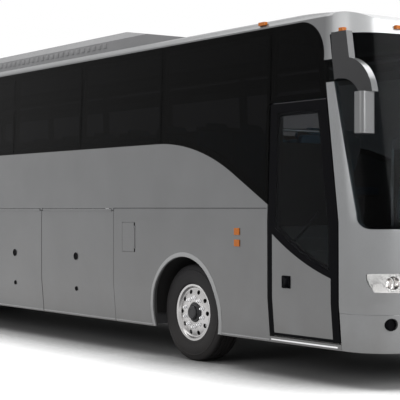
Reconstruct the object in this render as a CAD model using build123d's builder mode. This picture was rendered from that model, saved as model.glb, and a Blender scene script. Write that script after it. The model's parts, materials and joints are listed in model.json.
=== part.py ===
from build123d import *
import os
from math import cos, radians, sin

# A three-axle touring coach with a plug door in front, flap doors to the luggage bays and a rear engine.
# Millimetres. +X is forward, +Y is left, +Z is up. The origin is on the ground under the middle of the body.

# Body form
NOSE_X = 6870
TAIL_X = -6870
SKIRT_Z = 330
ROOF_Z = 3520
CANTRAIL_Z = 3390
WALL = 50
GLASS = 12
NOSE_CORNER_R = 400
NOSE_BOW_DEG = 10
TAIL_CORNER_R = 180
TAIL_BOW_DEG = 3
LINING_FLATS = 4

# Columns: height, half width, nose, tail
BODY_SECTIONS = (
    (SKIRT_Z, 1262, NOSE_X - 20, TAIL_X + 15),
    (760, 1298, NOSE_X, TAIL_X),
    (1500, 1300, NOSE_X - 8, TAIL_X),
    (CANTRAIL_Z + 10, 1240, NOSE_X - 323, TAIL_X + 110),
    (ROOF_Z + 80, 1234, NOSE_X - 358, TAIL_X + 120),
)
ROOF_EDGE = (1262, CANTRAIL_Z - 70)
ROOF_CURVE = (1214, CANTRAIL_Z + 48)
ROOF_SHOULDER = (1090, ROOF_Z - 38)
HEADER_EDGE = (NOSE_X - 262, 3190)
HEADER_CURVE = (NOSE_X - 400, 3355)
HEADER_SHOULDER = (NOSE_X - 670, 3432)
HEADER_JOINT_X = 6150
ROOF_JOINT_Y = 1030
ROOF_JOINT = 0.6

# Belt line, which sweeps down to the entrance, and the raked line behind the front mask
SEAM_Z = 1625
BELT_Z = 2330
SWEEP_START_X = 3340
SWEEP_MID = (4690, 1990)
DOORWAY_REAR_X = 5277
SWEEP_END_Z = 1665
FRONT_SEAM_X = 6300
REAR_SEAM_X = -6560
RAKE_FROM_Z = 1500
RAKE = 1 / 6
PILLAR_WIDTH = 110
PILLAR_FOOT = 225
CAB_SILL_Z = 1480
DOOR_SILL_Z = 385
BUMPER_TOP_Z = 675

# Glazing
PANE_PITCH = 1710
PANE_FRONT_X = 3410
PANE_JOINTS = 6
PANE_GAP = 10
WINDOW_POST = 120
WINDOW_RAIL = 60
REAR_GLASS_X = -6450
SCREEN_LOW_Z = 1440
SCREEN_TOP_Z = 3230
SCREEN_CORNER = 130
TAB_LOW_Z = 2790
TAB_TOP_Z = 3000
BAND_CORNER_X = 290
REAR_WINDOW_HALF = 900
REAR_WINDOW_Z = (2330, 3140)

# Entrance door: leaf, window, lower panel, arms
DOORWAY_TOP_Z = 2650
DOOR_GAP = 14
DOOR_LOW_Z = 398
DOOR_GLASS_TOP_Z = 2545
DOOR_PANEL_LOW_Z = 425
DOOR_BORDER = 130
# Sweeps from front to rear: the panel's top edge and the window's lower edge
DOOR_PANEL_TOP = ((6190, 985), (5770, 1140), (5350, 1380))
DOOR_WINDOW_LOW = ((6170, 1050), (5770, 1210), (5400, 1440))
DOOR_POST = (6200, -1165)
DOOR_PIN = (5700, -1212)
DOOR_ARM_Z = (700, 1080)
DOOR_ARM_BULGE = 100
DOOR_POST_R = 20
DOOR_PIN_R = 10
DOOR_ARM_THICK = 30
HANDLE_CENTRE = (5563, 924)
HANDLE_SIZE = 120

# Running gear
FRONT_AXLE_X = 3870
DRIVE_AXLE_X = -3580
TAG_AXLE_X = -4980
AXLE_Z = 515
TYRE_R = AXLE_Z
TYRE_WIDTH = 298
TYRE_SHOULDER = 15
RIM_WIDTH = 262
RIM_R = 305
BARREL_R = 264
DISC_REAR = 84
DISC_THICK = 24
HAND_HOLES = 10
HUB_R = 104
HUB_REAR = -62
HUB_CAP = 158
SINGLE_Y = 1040
DUAL_OUTER_Y = 1090
DUAL_SPACING = 340
ARCH_TOP_Z = 1146
HOUSING_SHEET = 10
HOUSING_INNER_Y = 520
HOUSING_LOW_Z = 470
HOUSING_ROOM = 8
STEERING_ROOM = 48
KINGPIN_Y = 860
KINGPIN_R = 25
YOKE_GAP = 120
YOKE_EAR = 30
STEER_ARM = 190
TIE_PIN_R = 12
SPINDLE_R = 40
SPINDLE_END_Y = 1140
DUAL_TUBE_Y = 560
DUAL_SPINDLE_Y = 1056
HAND_HOLE_R = 27
HAND_HOLE_RING_R = 190
SPRING_R = 105
SPRING_X = 330
SPRING_Y = 400
SPRING_TOP_Z = 850
ENGINE_X = -6125
RUNNING_FIT = 0.1
SEAT_GAP = 0.3

# Wheel arches. Columns: axle, radius
ARCHES = (
    (FRONT_AXLE_X, 596),
    (DRIVE_AXLE_X, 592),
    (TAG_AXLE_X, 592),
)

# Luggage bays. Columns: name, rear edge, front edge
BAYS = (
    ("front", 790, 2486),
    ("middle", -630, 790),
    ("rear", -2050, -630),
)
BAY_DOOR_GAP = 6
BAY_FLOOR_Z = 385
BAY_FLOOR_HALF = 1195
BAY_WALL_HALF = 1236
JACK_X = (-2500, 2800)
JACK_Y = 950
DECK_Z = 1450
DECK_THICK = 50
PLATE = 30
FRONT_BULKHEAD_X = FRONT_AXLE_X - 710
REAR_BULKHEAD_X = DRIVE_AXLE_X + 620
LOCK_R = 45
LOCK_Z = 1050
LATCH_R = 27
LATCH_Z = 660

# Hinge barrels: the pin on the body, the barrel on the door
HINGE_Y = 1297
HINGE_PIN_R = 5
HINGE_BARREL_R = 9
HINGE_DROP = 13
BRACKET = 40

# Filler flap, engine lid, roof hatches
FLAP_LOW = (2667, 1136)
FLAP_HIGH = (2937, 1470)
LID_HALF = 880
LID_LOW_Z = 760
LID_TOP_Z = 1890
LID_HINGE_Y = 600
SLOT_SIZE = (640, 60)
SLOT_PITCH = 130
SLOT_ROWS = 6
HATCH_LENGTH = 720
HATCH_WIDTH = 640
HATCH_THICK = 40
CURB = 30
CURB_TOP_Z = ROOF_Z + 30
HATCHES_X = (4300, -4700)

# Roof unit
UNIT_HALF = 950
UNIT_TOP_Z = 3738
UNIT_FRONT_X = 3450
UNIT_FLAT_X = 2100
UNIT_REAR_X = -2000

# Front lamps and marker lamps
LAMP_TIP = (1240, 1036)
LAMP_LOW = (1190, 872)
LAMP_INNER_Y = 700
LAMP_TOP_Z = 1045
LAMP_DEPTH_X = 6420
FOG_CENTRE = (1066, 590)
FOG_R = 55
MARKER_X = 4802
MARKER_Z = (1279, 1394)
MARKER_SIZE = (85, 70)
MARKER_TOP = (5125, 1228, 3445)
HEADER_LAMPS = ((6520, -750), (6565, 0), (6520, 750))
HEADER_LAMP_Z = 3290
HEADER_CORNER_LAMP = (6262, 1205, 3264)
REFLECTOR_R = 62
REFLECTORS_Y = (770, 910, 1050)
TAIL_LAMP_Y = 1080
TAIL_LAMP_Z = 1300
TAIL_LAMP_SIZE = (210, 560)

# Mirrors. The arm hangs from the header as a bracket, bears on the pillar and curves down to the head
MIRROR_BRACKET = ((6243, 2798), (6215, 3000), (6200, 3235), (6400, 3235), (6440, 2985))
MIRROR_OUTER_ARC = ((6440, 2985), (6635, 2875), (6735, 2660))
MIRROR_INNER_ARC = ((6565, 2660), (6470, 2762), (6243, 2798))
MIRROR_ARM_Y = (1225, 1300)
MIRROR_HEAD_X = (6610, 6710)
MIRROR_HEAD_Y = (1225, 1395)
MIRROR_HEAD_Z = (2290, 2660)
MIRROR_HEAD_R = 40

# Wipers
WIPER_Y = 500
WIPER_PIVOT_X = 6858
WIPER_PIVOT_Z = SCREEN_LOW_Z - 40
WIPER_PIVOT_R = 22
WIPER_ARM = (22, 860)
WIPER_BLADE = (14, 1000)
WIPER_THICK = 14

# Cabin
PLATFORM_Z = 1060
STEP_RISE = 130
STEP_TREAD = 170
DECK_FRONT_X = FRONT_AXLE_X + 780
DECK_REAR_X = -6700
PLATFORM_FRONT_X = 6400
STAIR_REAR_X = 5300
STAIR_FRONT_X = 6250
STAIR_INNER_Y = -400
DRIVER_Y = 620
STEERING_WHEEL_R = 232
SEAT_Y = (230, 1190)
RACK_REAR_X = -6300
RACK_FRONT_X = 4900
SEAT_ROWS = 14
SEAT_PITCH = 760
FIRST_SEAT_X = 4080

# Treads of the entrance. Columns: outer edge, height
TREADS = (
    (-1205, 400),
    (-950, 640),
    (-680, 860),
    (STAIR_INNER_Y, PLATFORM_Z - DECK_THICK),
)

FAR = 8000
SIDE_CUT = 500


def rake_x(z, shift=0):
    """X of the raked line behind the front mask, at a height."""
    return FRONT_SEAM_X + shift - max(0, z - RAKE_FROM_Z) * RAKE


def pillar_x(z):
    """X of the grey pillar's front edge under the black tab, where the pillar widens downwards."""
    share = (TAB_LOW_Z - z) / (TAB_LOW_Z - RAKE_FROM_Z)
    return rake_x(z) + PILLAR_WIDTH + (PILLAR_FOOT - PILLAR_WIDTH) * share


def corner(centre, radius, start, turn, steps):
    """A rounded corner: a true arc, or a chain of straight flats where steps are given."""
    if steps == 0:
        CenterArc(centre, radius, start, turn)
        return
    angles = [radians(start + turn * i / steps) for i in range(steps + 1)]
    Polyline(*[(centre[0] + radius * cos(a), centre[1] + radius * sin(a)) for a in angles])


def plan_outline(half_width, nose, tail, nose_r, tail_r, steps, tail_steps):
    """Plan section of the body: straight sides, rounded corners, bowed nose and tail."""
    nose_bow_r = (half_width - nose_r) / sin(radians(NOSE_BOW_DEG)) + nose_r
    tail_bow_r = (half_width - tail_r) / sin(radians(TAIL_BOW_DEG)) + tail_r
    nose_cos, tail_cos = cos(radians(NOSE_BOW_DEG)), cos(radians(TAIL_BOW_DEG))
    nose_x = nose - nose_bow_r * (1 - nose_cos) - nose_r * nose_cos
    tail_x = tail + tail_bow_r * (1 - tail_cos) + tail_r * tail_cos
    nose_y, tail_y = half_width - nose_r, half_width - tail_r
    Line((tail_x, -half_width), (nose_x, -half_width))
    corner((nose_x, -nose_y), nose_r, -90, 90 - NOSE_BOW_DEG, steps)
    corner((nose - nose_bow_r, 0), nose_bow_r, -NOSE_BOW_DEG, 2 * NOSE_BOW_DEG, steps)
    corner((nose_x, nose_y), nose_r, NOSE_BOW_DEG, 90 - NOSE_BOW_DEG, steps)
    Line((nose_x, half_width), (tail_x, half_width))
    corner((tail_x, tail_y), tail_r, 90, 90 - TAIL_BOW_DEG, tail_steps)
    corner((tail + tail_bow_r, 0), tail_bow_r, 180 - TAIL_BOW_DEG, 2 * TAIL_BOW_DEG, tail_steps)
    corner((tail_x, -tail_y), tail_r, 180 + TAIL_BOW_DEG, 90 - TAIL_BOW_DEG, tail_steps)


def inwards(point, inset):
    """A point of the roof outline, moved inwards and down."""
    return (point[0] - inset, point[1] - inset)


def body_form(inset, steps, tail_steps):
    """The body as one solid, with every face moved inwards by the inset. Linings turn the corners in flats."""
    edge = (ROOF_EDGE[0] - inset, ROOF_EDGE[1])
    curve = inwards(ROOF_CURVE, inset)
    shoulder = inwards(ROOF_SHOULDER, inset)
    front_low = (HEADER_EDGE[0] - inset, HEADER_EDGE[1])
    front_mid = inwards(HEADER_CURVE, inset)
    front_top = inwards(HEADER_SHOULDER, inset)
    roof_front = (4000, ROOF_Z + 10 - inset)
    roof_rear = (-6300, ROOF_Z + 10 - inset)
    rear_mid = (TAIL_X + 230 + inset, 3440 - inset)
    rear_low = (TAIL_X + 80 + inset, 3200)
    with BuildPart() as form:
        for height, half_width, nose, tail in BODY_SECTIONS:
            level = height - inset if height == SKIRT_Z else height
            corners = (NOSE_CORNER_R - inset, TAIL_CORNER_R - inset)
            with BuildSketch(Plane.XY.offset(level)):
                with BuildLine():
                    plan_outline(half_width - inset, nose - inset, tail + inset, *corners, steps, tail_steps)
                make_face()
        loft(ruled=True)
        # Crowned roof with rounded cantrails
        with BuildSketch(Plane.YZ.offset(-FAR)):
            with BuildLine():
                Polyline(edge, (FAR, edge[1]), (FAR, 0), (-FAR, 0), (-FAR, edge[1]), (-edge[0], edge[1]))
                ThreePointArc((-edge[0], edge[1]), (-curve[0], curve[1]), (-shoulder[0], shoulder[1]))
                ThreePointArc((-shoulder[0], shoulder[1]), (0, ROOF_Z - inset), shoulder)
                ThreePointArc(shoulder, curve, edge)
            make_face()
        extrude(amount=2 * FAR, mode=Mode.INTERSECT)
        # Roof falling to a rounded header, and rounded off behind
        with BuildSketch(Plane.XZ.offset(-FAR)):
            with BuildLine():
                ThreePointArc(front_low, front_mid, front_top)
                ThreePointArc(front_top, (5200, 3502 - inset), roof_front)
                Line(roof_front, roof_rear)
                ThreePointArc(roof_rear, rear_mid, rear_low)
                Polyline(rear_low, (-FAR, 3200), (-FAR, 0), (FAR, 0), (FAR, HEADER_EDGE[1]), front_low)
            make_face()
        extrude(amount=2 * FAR, mode=Mode.INTERSECT)
    return form.part


os.makedirs("parts", exist_ok=True)

# Blanks of the body skin: the full wall, its outer glass layer and the framing layer behind the glass
outer_form = body_form(0, 0, 0)
glass_form = body_form(GLASS, LINING_FLATS, 0)
inner_form = body_form(WALL, LINING_FLATS, LINING_FLATS)

with BuildPart() as wall_blank:
    add(outer_form)
    add(inner_form, mode=Mode.SUBTRACT)

with BuildPart() as glass_blank:
    add(outer_form)
    add(glass_form, mode=Mode.SUBTRACT)

with BuildPart() as frame_blank:
    add(glass_form)
    add(inner_form, mode=Mode.SUBTRACT)

RIGHT = Plane.XZ.offset(1000)
ACROSS = Plane.XZ.offset(-FAR)
TO_RIGHT = (0, -1, 0)


def box_corners(low, high, mode=Mode.ADD):
    """A rectangle drawn from its low corner to its high corner."""
    with Locations(((low[0] + high[0]) / 2, (low[1] + high[1]) / 2)):
        Rectangle(abs(high[0] - low[0]), abs(high[1] - low[1]), mode=mode)


def arch_shape(axle_x, radius, top_z, mode=Mode.ADD):
    """Half a circle on straight legs, open below."""
    with Locations((axle_x, top_z - radius)):
        Circle(radius, mode=mode)
    box_corners((axle_x - radius, 0), (axle_x + radius, top_z - radius), mode=mode)


# Side view regions of the body skin
with BuildSketch(RIGHT) as wheel_arches:
    for axle_x, radius in ARCHES:
        arch_shape(axle_x, radius, ARCH_TOP_Z)

with BuildSketch(RIGHT) as below_belt:
    with BuildLine():
        Polyline(
            (DOORWAY_REAR_X, SWEEP_END_Z),
            (DOORWAY_REAR_X, SKIRT_Z - WALL),
            (REAR_SEAM_X, SKIRT_Z - WALL),
            (REAR_SEAM_X, CANTRAIL_Z),
            (REAR_GLASS_X, CANTRAIL_Z),
            (REAR_GLASS_X, BELT_Z),
            (SWEEP_START_X, BELT_Z),
        )
        TangentArc((SWEEP_START_X, BELT_Z), SWEEP_MID, tangent=(1, 0))
        Line(SWEEP_MID, (DOORWAY_REAR_X, SWEEP_END_Z))
    make_face()

with BuildSketch(RIGHT) as bay_opening:
    box_corners((BAYS[-1][1], 0), (BAYS[0][2], SEAM_Z))

# Rounded upper front corner of the dark side glazing
band_front = (rake_x(TAB_TOP_Z), TAB_TOP_Z)
band_middle = (band_front[0] - 75, TAB_TOP_Z + 265)
band_corner = (rake_x(CANTRAIL_Z) - BAND_CORNER_X, CANTRAIL_Z)

with BuildSketch(ACROSS) as below_cantrail:
    with BuildLine():
        Polyline(band_front, (band_front[0], 0), (-FAR, 0), (-FAR, CANTRAIL_Z), band_corner)
        ThreePointArc(band_corner, band_middle, band_front)
    make_face()

with BuildSketch(ACROSS) as below_header:
    with BuildLine():
        Polyline(
            (band_front[0] - 1, 0),
            (band_front[0] - 1, TAB_TOP_Z),
            (rake_x(TAB_TOP_Z, PILLAR_WIDTH), TAB_TOP_Z),
            (rake_x(SCREEN_TOP_Z, PILLAR_WIDTH), SCREEN_TOP_Z),
            (FAR, SCREEN_TOP_Z),
            (FAR, 0),
            (band_front[0] - 1, 0),
        )
    make_face()

# Rounded lower corner of the windscreen, seen from the side
screen_side = (pillar_x(SCREEN_LOW_Z + SCREEN_CORNER), SCREEN_LOW_Z + SCREEN_CORNER)
screen_corner = (screen_side[0] + SCREEN_CORNER, SCREEN_LOW_Z)

with BuildSketch(ACROSS) as screen_region:
    with BuildLine():
        Polyline(
            screen_corner,
            (FAR, SCREEN_LOW_Z),
            (FAR, SCREEN_TOP_Z),
            (rake_x(SCREEN_TOP_Z, PILLAR_WIDTH), SCREEN_TOP_Z),
            (rake_x(TAB_TOP_Z, PILLAR_WIDTH), TAB_TOP_Z),
            (rake_x(TAB_TOP_Z), TAB_TOP_Z),
            (rake_x(TAB_LOW_Z), TAB_LOW_Z),
            (rake_x(TAB_LOW_Z, PILLAR_WIDTH), TAB_LOW_Z),
            screen_side,
        )
        TangentArc(screen_corner, screen_side, tangent=(-1, 0))
    make_face()

with BuildSketch(ACROSS) as mask_region:
    with BuildLine():
        Polyline(
            (FAR, BUMPER_TOP_Z),
            (FRONT_SEAM_X, BUMPER_TOP_Z),
            (FRONT_SEAM_X, RAKE_FROM_Z),
            (rake_x(TAB_LOW_Z), TAB_LOW_Z),
            (rake_x(TAB_LOW_Z, PILLAR_WIDTH), TAB_LOW_Z),
            screen_side,
        )
        TangentArc(screen_corner, screen_side, tangent=(-1, 0))
        Polyline(screen_corner, (FAR, SCREEN_LOW_Z), (FAR, BUMPER_TOP_Z))
    make_face()

# Glazed region of a side between the rear pillar, the cantrail and the raked line
with BuildSketch(RIGHT) as glazed_side:
    with BuildLine():
        Polyline(
            (REAR_GLASS_X, 0),
            (REAR_GLASS_X, CANTRAIL_Z),
            band_corner,
        )
        ThreePointArc(band_corner, band_middle, band_front)
        Polyline(
            band_front,
            (FRONT_SEAM_X, RAKE_FROM_Z),
            (FRONT_SEAM_X, 0),
            (REAR_GLASS_X, 0),
        )
    make_face()

with BuildSketch(RIGHT) as right_glazing:
    add(glazed_side.sketch_local)
    add(below_belt.sketch_local, mode=Mode.SUBTRACT)
    box_corners((DOORWAY_REAR_X - 1, 0), (FRONT_SEAM_X + 1, DOORWAY_TOP_Z), mode=Mode.SUBTRACT)

with BuildSketch(RIGHT) as left_glazing:
    add(glazed_side.sketch_local)
    add(below_belt.sketch_local, mode=Mode.SUBTRACT)
    box_corners((DOORWAY_REAR_X - 1, 0), (FRONT_SEAM_X + 1, CAB_SILL_Z), mode=Mode.SUBTRACT)

# Right side: bay openings, filler recess and the sill under the entrance
with BuildPart() as right_side:
    add(wall_blank.part)
    with BuildSketch(RIGHT):
        add(below_belt.sketch_local)
        box_corners((DOORWAY_REAR_X - 1, SKIRT_Z - WALL), (FRONT_SEAM_X, DOOR_SILL_Z))
    extrude(amount=SIDE_CUT, mode=Mode.INTERSECT)
    with BuildSketch(RIGHT):
        add(wheel_arches.sketch_local)
        add(bay_opening.sketch_local)
    extrude(amount=SIDE_CUT, mode=Mode.SUBTRACT)
    with BuildSketch(Plane.XZ.offset(1274)):
        box_corners(FLAP_LOW, FLAP_HIGH)
    extrude(amount=SIDE_CUT, mode=Mode.SUBTRACT)

# Left side: closed up to the driver's window. Drawn on the right and mirrored
with BuildPart() as left_panel:
    add(wall_blank.part)
    with BuildSketch(RIGHT):
        add(below_belt.sketch_local)
        box_corners((DOORWAY_REAR_X - 1, SKIRT_Z - WALL), (FRONT_SEAM_X, CAB_SILL_Z))
    extrude(amount=SIDE_CUT, mode=Mode.INTERSECT)
    with BuildSketch(RIGHT):
        add(wheel_arches.sketch_local)
        add(bay_opening.sketch_local)
    extrude(amount=SIDE_CUT, mode=Mode.SUBTRACT)

# Hinge rod along the bay doors, held by brackets at the door joints
with BuildPart() as bay_hinge_rod:
    rod_z = SEAM_Z - HINGE_DROP
    rod_length = BAYS[0][2] - BAYS[-1][1]
    with BuildSketch(Plane.YZ.offset(BAYS[-1][1])):
        with Locations((-HINGE_Y, rod_z)):
            Circle(HINGE_PIN_R)
    extrude(amount=rod_length)
    with BuildSketch(Plane.XZ.offset(HINGE_Y - 6)):
        for x in (BAYS[0][2] - BRACKET / 2, BAYS[0][1], BAYS[1][1], BAYS[2][1] + BRACKET / 2):
            box_corners((x - BRACKET / 2, rod_z - 4), (x + BRACKET / 2, SEAM_Z + 4))
    extrude(amount=11)

with BuildPart() as right_wall:
    add(right_side.part)
    add(bay_hinge_rod.part)
    # Hinge pin of the filler flap and its two brackets
    with BuildSketch(Plane.XY.offset(FLAP_LOW[1] + 40)):
        with Locations((FLAP_HIGH[0] - HINGE_DROP, -HINGE_Y - 2)):
            Circle(HINGE_PIN_R)
    extrude(amount=FLAP_HIGH[1] - FLAP_LOW[1] - 80)
    with BuildSketch(Plane.XZ.offset(HINGE_Y - 2)):
        for z in (FLAP_LOW[1] + 50, FLAP_HIGH[1] - 50):
            box_corners((FLAP_HIGH[0] - HINGE_DROP - 4, z - 10), (FLAP_HIGH[0] + 6, z + 10))
    extrude(amount=8)

with BuildPart() as left_wall:
    add(left_panel.part)
    add(bay_hinge_rod.part)

# Roof with the cantrails and the header, two hatch openings and their curbs
with BuildPart() as roof:
    add(wall_blank.part)
    extrude(below_cantrail.sketch, amount=2 * FAR, dir=TO_RIGHT, mode=Mode.SUBTRACT)
    extrude(below_header.sketch, amount=2 * FAR, dir=TO_RIGHT, mode=Mode.SUBTRACT)
    with BuildSketch(Plane.XY.offset(ROOF_Z - 30)):
        with Locations(*[(x, 0) for x in HATCHES_X]):
            Rectangle(HATCH_LENGTH, HATCH_WIDTH)
    extrude(amount=CURB_TOP_Z - ROOF_Z + 30)
    with BuildSketch(Plane.XY.offset(ROOF_Z - 200)):
        with Locations(*[(x, 0) for x in HATCHES_X]):
            Rectangle(HATCH_LENGTH - 2 * CURB, HATCH_WIDTH - 2 * CURB)
    extrude(amount=400, mode=Mode.SUBTRACT)
    # Joints between the roof skin, the two cantrail mouldings and the header
    with BuildSketch(Plane.XY.offset(HEADER_EDGE[1] - 100)):
        for y in (-ROOF_JOINT_Y, ROOF_JOINT_Y):
            box_corners((-FAR, y - ROOF_JOINT / 2), (HEADER_JOINT_X, y + ROOF_JOINT / 2))
        box_corners((HEADER_JOINT_X - ROOF_JOINT / 2, -FAR), (HEADER_JOINT_X + ROOF_JOINT / 2, FAR))
    extrude(amount=600, mode=Mode.SUBTRACT)
    # Hinge pins of the hatches
    with BuildSketch(Plane.XZ.offset(-HATCH_WIDTH / 2 + 60)):
        for x in HATCHES_X:
            with Locations((x + HATCH_LENGTH / 2 + HINGE_DROP, CURB_TOP_Z + HINGE_DROP - 4)):
                Circle(HINGE_PIN_R)
    extrude(amount=HATCH_WIDTH - 120)
    with BuildSketch(Plane.XZ):
        for x in HATCHES_X:
            box_corners(
                (x + HATCH_LENGTH / 2 - 10, ROOF_Z - 20),
                (x + HATCH_LENGTH / 2 + HINGE_DROP + 4, CURB_TOP_Z),
            )
            box_corners(
                (x + HATCH_LENGTH / 2 + HINGE_DROP - 4, CURB_TOP_Z - 5),
                (x + HATCH_LENGTH / 2 + HINGE_DROP + 4, CURB_TOP_Z + HINGE_DROP),
            )
    extrude(amount=20, both=True)

# Front mask: the panel under the windscreen and the grey pillars beside it, with lamp openings
with BuildSketch(Plane.YZ.offset(LAMP_DEPTH_X)) as lamp_outline:
    with BuildLine():
        lamp_middle = (-LAMP_LOW[0] - 38, LAMP_LOW[1] + 70)
        ThreePointArc((-LAMP_LOW[0], LAMP_LOW[1]), lamp_middle, (-LAMP_TIP[0], LAMP_TIP[1]))
        Polyline(
            (-LAMP_TIP[0], LAMP_TIP[1]),
            (-LAMP_TIP[0] + 40, LAMP_TOP_Z),
            (-LAMP_INNER_Y, LAMP_TOP_Z),
            (-LAMP_INNER_Y + 60, LAMP_LOW[1]),
            (-LAMP_LOW[0], LAMP_LOW[1]),
        )
    make_face()

with BuildPart() as front_panel:
    add(wall_blank.part)
    extrude(mask_region.sketch, amount=2 * FAR, dir=TO_RIGHT, mode=Mode.INTERSECT)
    extrude(lamp_outline.sketch, amount=600, dir=(1, 0, 0), mode=Mode.SUBTRACT)
    extrude(mirror(lamp_outline.sketch, about=Plane.XZ, mode=Mode.PRIVATE), amount=600, dir=(1, 0, 0), mode=Mode.SUBTRACT)

with BuildPart() as front_bumper:
    add(wall_blank.part)
    with BuildSketch(ACROSS):
        box_corners((FRONT_SEAM_X, SKIRT_Z - WALL), (FAR, BUMPER_TOP_Z))
    extrude(amount=2 * FAR, mode=Mode.INTERSECT)
    with BuildSketch(Plane.YZ.offset(FRONT_SEAM_X)):
        with Locations((-FOG_CENTRE[0], FOG_CENTRE[1]), (FOG_CENTRE[0], FOG_CENTRE[1])):
            Circle(FOG_R)
    extrude(amount=1000, mode=Mode.SUBTRACT)

with BuildPart() as windscreen:
    add(glass_blank.part)
    extrude(screen_region.sketch, amount=2 * FAR, dir=TO_RIGHT, mode=Mode.INTERSECT)

# Side windows: one outer layer of panes a side, with a joint between neighbours
pane_joints = [PANE_FRONT_X - i * PANE_PITCH for i in range(PANE_JOINTS)]

with BuildSketch(RIGHT) as pane_gaps:
    for x in pane_joints:
        box_corners((x - PANE_GAP / 2, SEAM_Z), (x + PANE_GAP / 2, CANTRAIL_Z + 1))

with BuildPart() as right_panes:
    add(glass_blank.part)
    with BuildSketch(RIGHT):
        add(right_glazing.sketch_local)
        add(pane_gaps.sketch_local, mode=Mode.SUBTRACT)
        box_corners((DOORWAY_REAR_X, SEAM_Z), (DOORWAY_REAR_X + PANE_GAP, CANTRAIL_Z + 1), mode=Mode.SUBTRACT)
    extrude(amount=SIDE_CUT, mode=Mode.INTERSECT)

with BuildPart() as left_panes:
    add(glass_blank.part)
    with BuildSketch(RIGHT):
        add(left_glazing.sketch_local)
        add(pane_gaps.sketch_local, mode=Mode.SUBTRACT)
        box_corners((DOORWAY_REAR_X, SEAM_Z - 300), (DOORWAY_REAR_X + PANE_GAP, CANTRAIL_Z + 1), mode=Mode.SUBTRACT)
    extrude(amount=SIDE_CUT, mode=Mode.INTERSECT)

with BuildPart() as side_windows:
    add(right_panes.part)
    add(mirror(left_panes.part, about=Plane.XZ, mode=Mode.PRIVATE))

# Window framing behind the panes: posts at the joints, a rail above and below
with BuildSketch(RIGHT) as window_holes:
    with BuildLine():
        hole_rear = REAR_GLASS_X + WINDOW_POST / 2
        hole_front = DOORWAY_REAR_X - WINDOW_POST / 2
        hole_top = CANTRAIL_Z - WINDOW_RAIL
        hole_low = BELT_Z + WINDOW_RAIL
        Polyline(
            (hole_front, SWEEP_END_Z + 1.6 * WINDOW_RAIL),
            (hole_front, hole_top),
            (hole_rear, hole_top),
            (hole_rear, hole_low),
            (SWEEP_START_X, hole_low),
        )
        TangentArc((SWEEP_START_X, hole_low), (SWEEP_MID[0] + 20, SWEEP_MID[1] + 1.1 * WINDOW_RAIL), tangent=(1, 0))
        Line((SWEEP_MID[0] + 20, SWEEP_MID[1] + 1.1 * WINDOW_RAIL), (hole_front, SWEEP_END_Z + 1.6 * WINDOW_RAIL))
    make_face()
    for x in pane_joints:
        box_corners((x - WINDOW_POST / 2, SEAM_Z), (x + WINDOW_POST / 2, CANTRAIL_Z), mode=Mode.SUBTRACT)

with BuildSketch(RIGHT) as over_door_hole:
    with BuildLine():
        Polyline(
            (DOORWAY_REAR_X + WINDOW_RAIL, DOORWAY_TOP_Z + WINDOW_RAIL),
            (DOORWAY_REAR_X + WINDOW_RAIL, hole_top),
            (band_corner[0] - 30, hole_top),
            (band_front[0] - 95, TAB_TOP_Z + 60),
            (rake_x(DOORWAY_TOP_Z + WINDOW_RAIL) - 95, DOORWAY_TOP_Z + WINDOW_RAIL),
            close=True,
        )
    make_face()

with BuildSketch(RIGHT) as cab_window_hole:
    with BuildLine():
        Polyline(
            (DOORWAY_REAR_X + WINDOW_RAIL, CAB_SILL_Z + WINDOW_RAIL),
            (DOORWAY_REAR_X + WINDOW_RAIL, hole_top),
            (band_corner[0] - 30, hole_top),
            (band_front[0] - 95, TAB_TOP_Z + 60),
            (rake_x(CAB_SILL_Z) - 95, CAB_SILL_Z + WINDOW_RAIL),
            close=True,
        )
    make_face()

with BuildPart() as right_frame:
    add(frame_blank.part)
    with BuildSketch(RIGHT):
        add(right_glazing.sketch_local)
        add(window_holes.sketch_local, mode=Mode.SUBTRACT)
        add(over_door_hole.sketch_local, mode=Mode.SUBTRACT)
    extrude(amount=SIDE_CUT, mode=Mode.INTERSECT)

with BuildPart() as left_frame:
    add(frame_blank.part)
    with BuildSketch(RIGHT):
        add(left_glazing.sketch_local)
        add(window_holes.sketch_local, mode=Mode.SUBTRACT)
        add(cab_window_hole.sketch_local, mode=Mode.SUBTRACT)
    extrude(amount=SIDE_CUT, mode=Mode.INTERSECT)

with BuildPart() as window_frame:
    add(right_frame.part)
    add(mirror(left_frame.part, about=Plane.XZ, mode=Mode.PRIVATE))

# Rear: panel with the bumper, engine opening, window recess and lamp recesses
with BuildSketch(Plane.YZ.offset(-FAR)) as rear_window_outline:
    with Locations((0, sum(REAR_WINDOW_Z) / 2)):
        RectangleRounded(2 * REAR_WINDOW_HALF, REAR_WINDOW_Z[1] - REAR_WINDOW_Z[0], 90)

with BuildPart() as rear_window:
    add(glass_blank.part)
    extrude(rear_window_outline.sketch, amount=FAR + REAR_SEAM_X, dir=(1, 0, 0), mode=Mode.INTERSECT)

with BuildSketch(Plane.YZ.offset(-FAR)) as tail_lamp_outline:
    with Locations((-TAIL_LAMP_Y, TAIL_LAMP_Z), (TAIL_LAMP_Y, TAIL_LAMP_Z)):
        RectangleRounded(*TAIL_LAMP_SIZE, 60)

with BuildPart() as tail_lamps:
    add(glass_blank.part)
    extrude(tail_lamp_outline.sketch, amount=FAR + REAR_SEAM_X, dir=(1, 0, 0), mode=Mode.INTERSECT)

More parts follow.
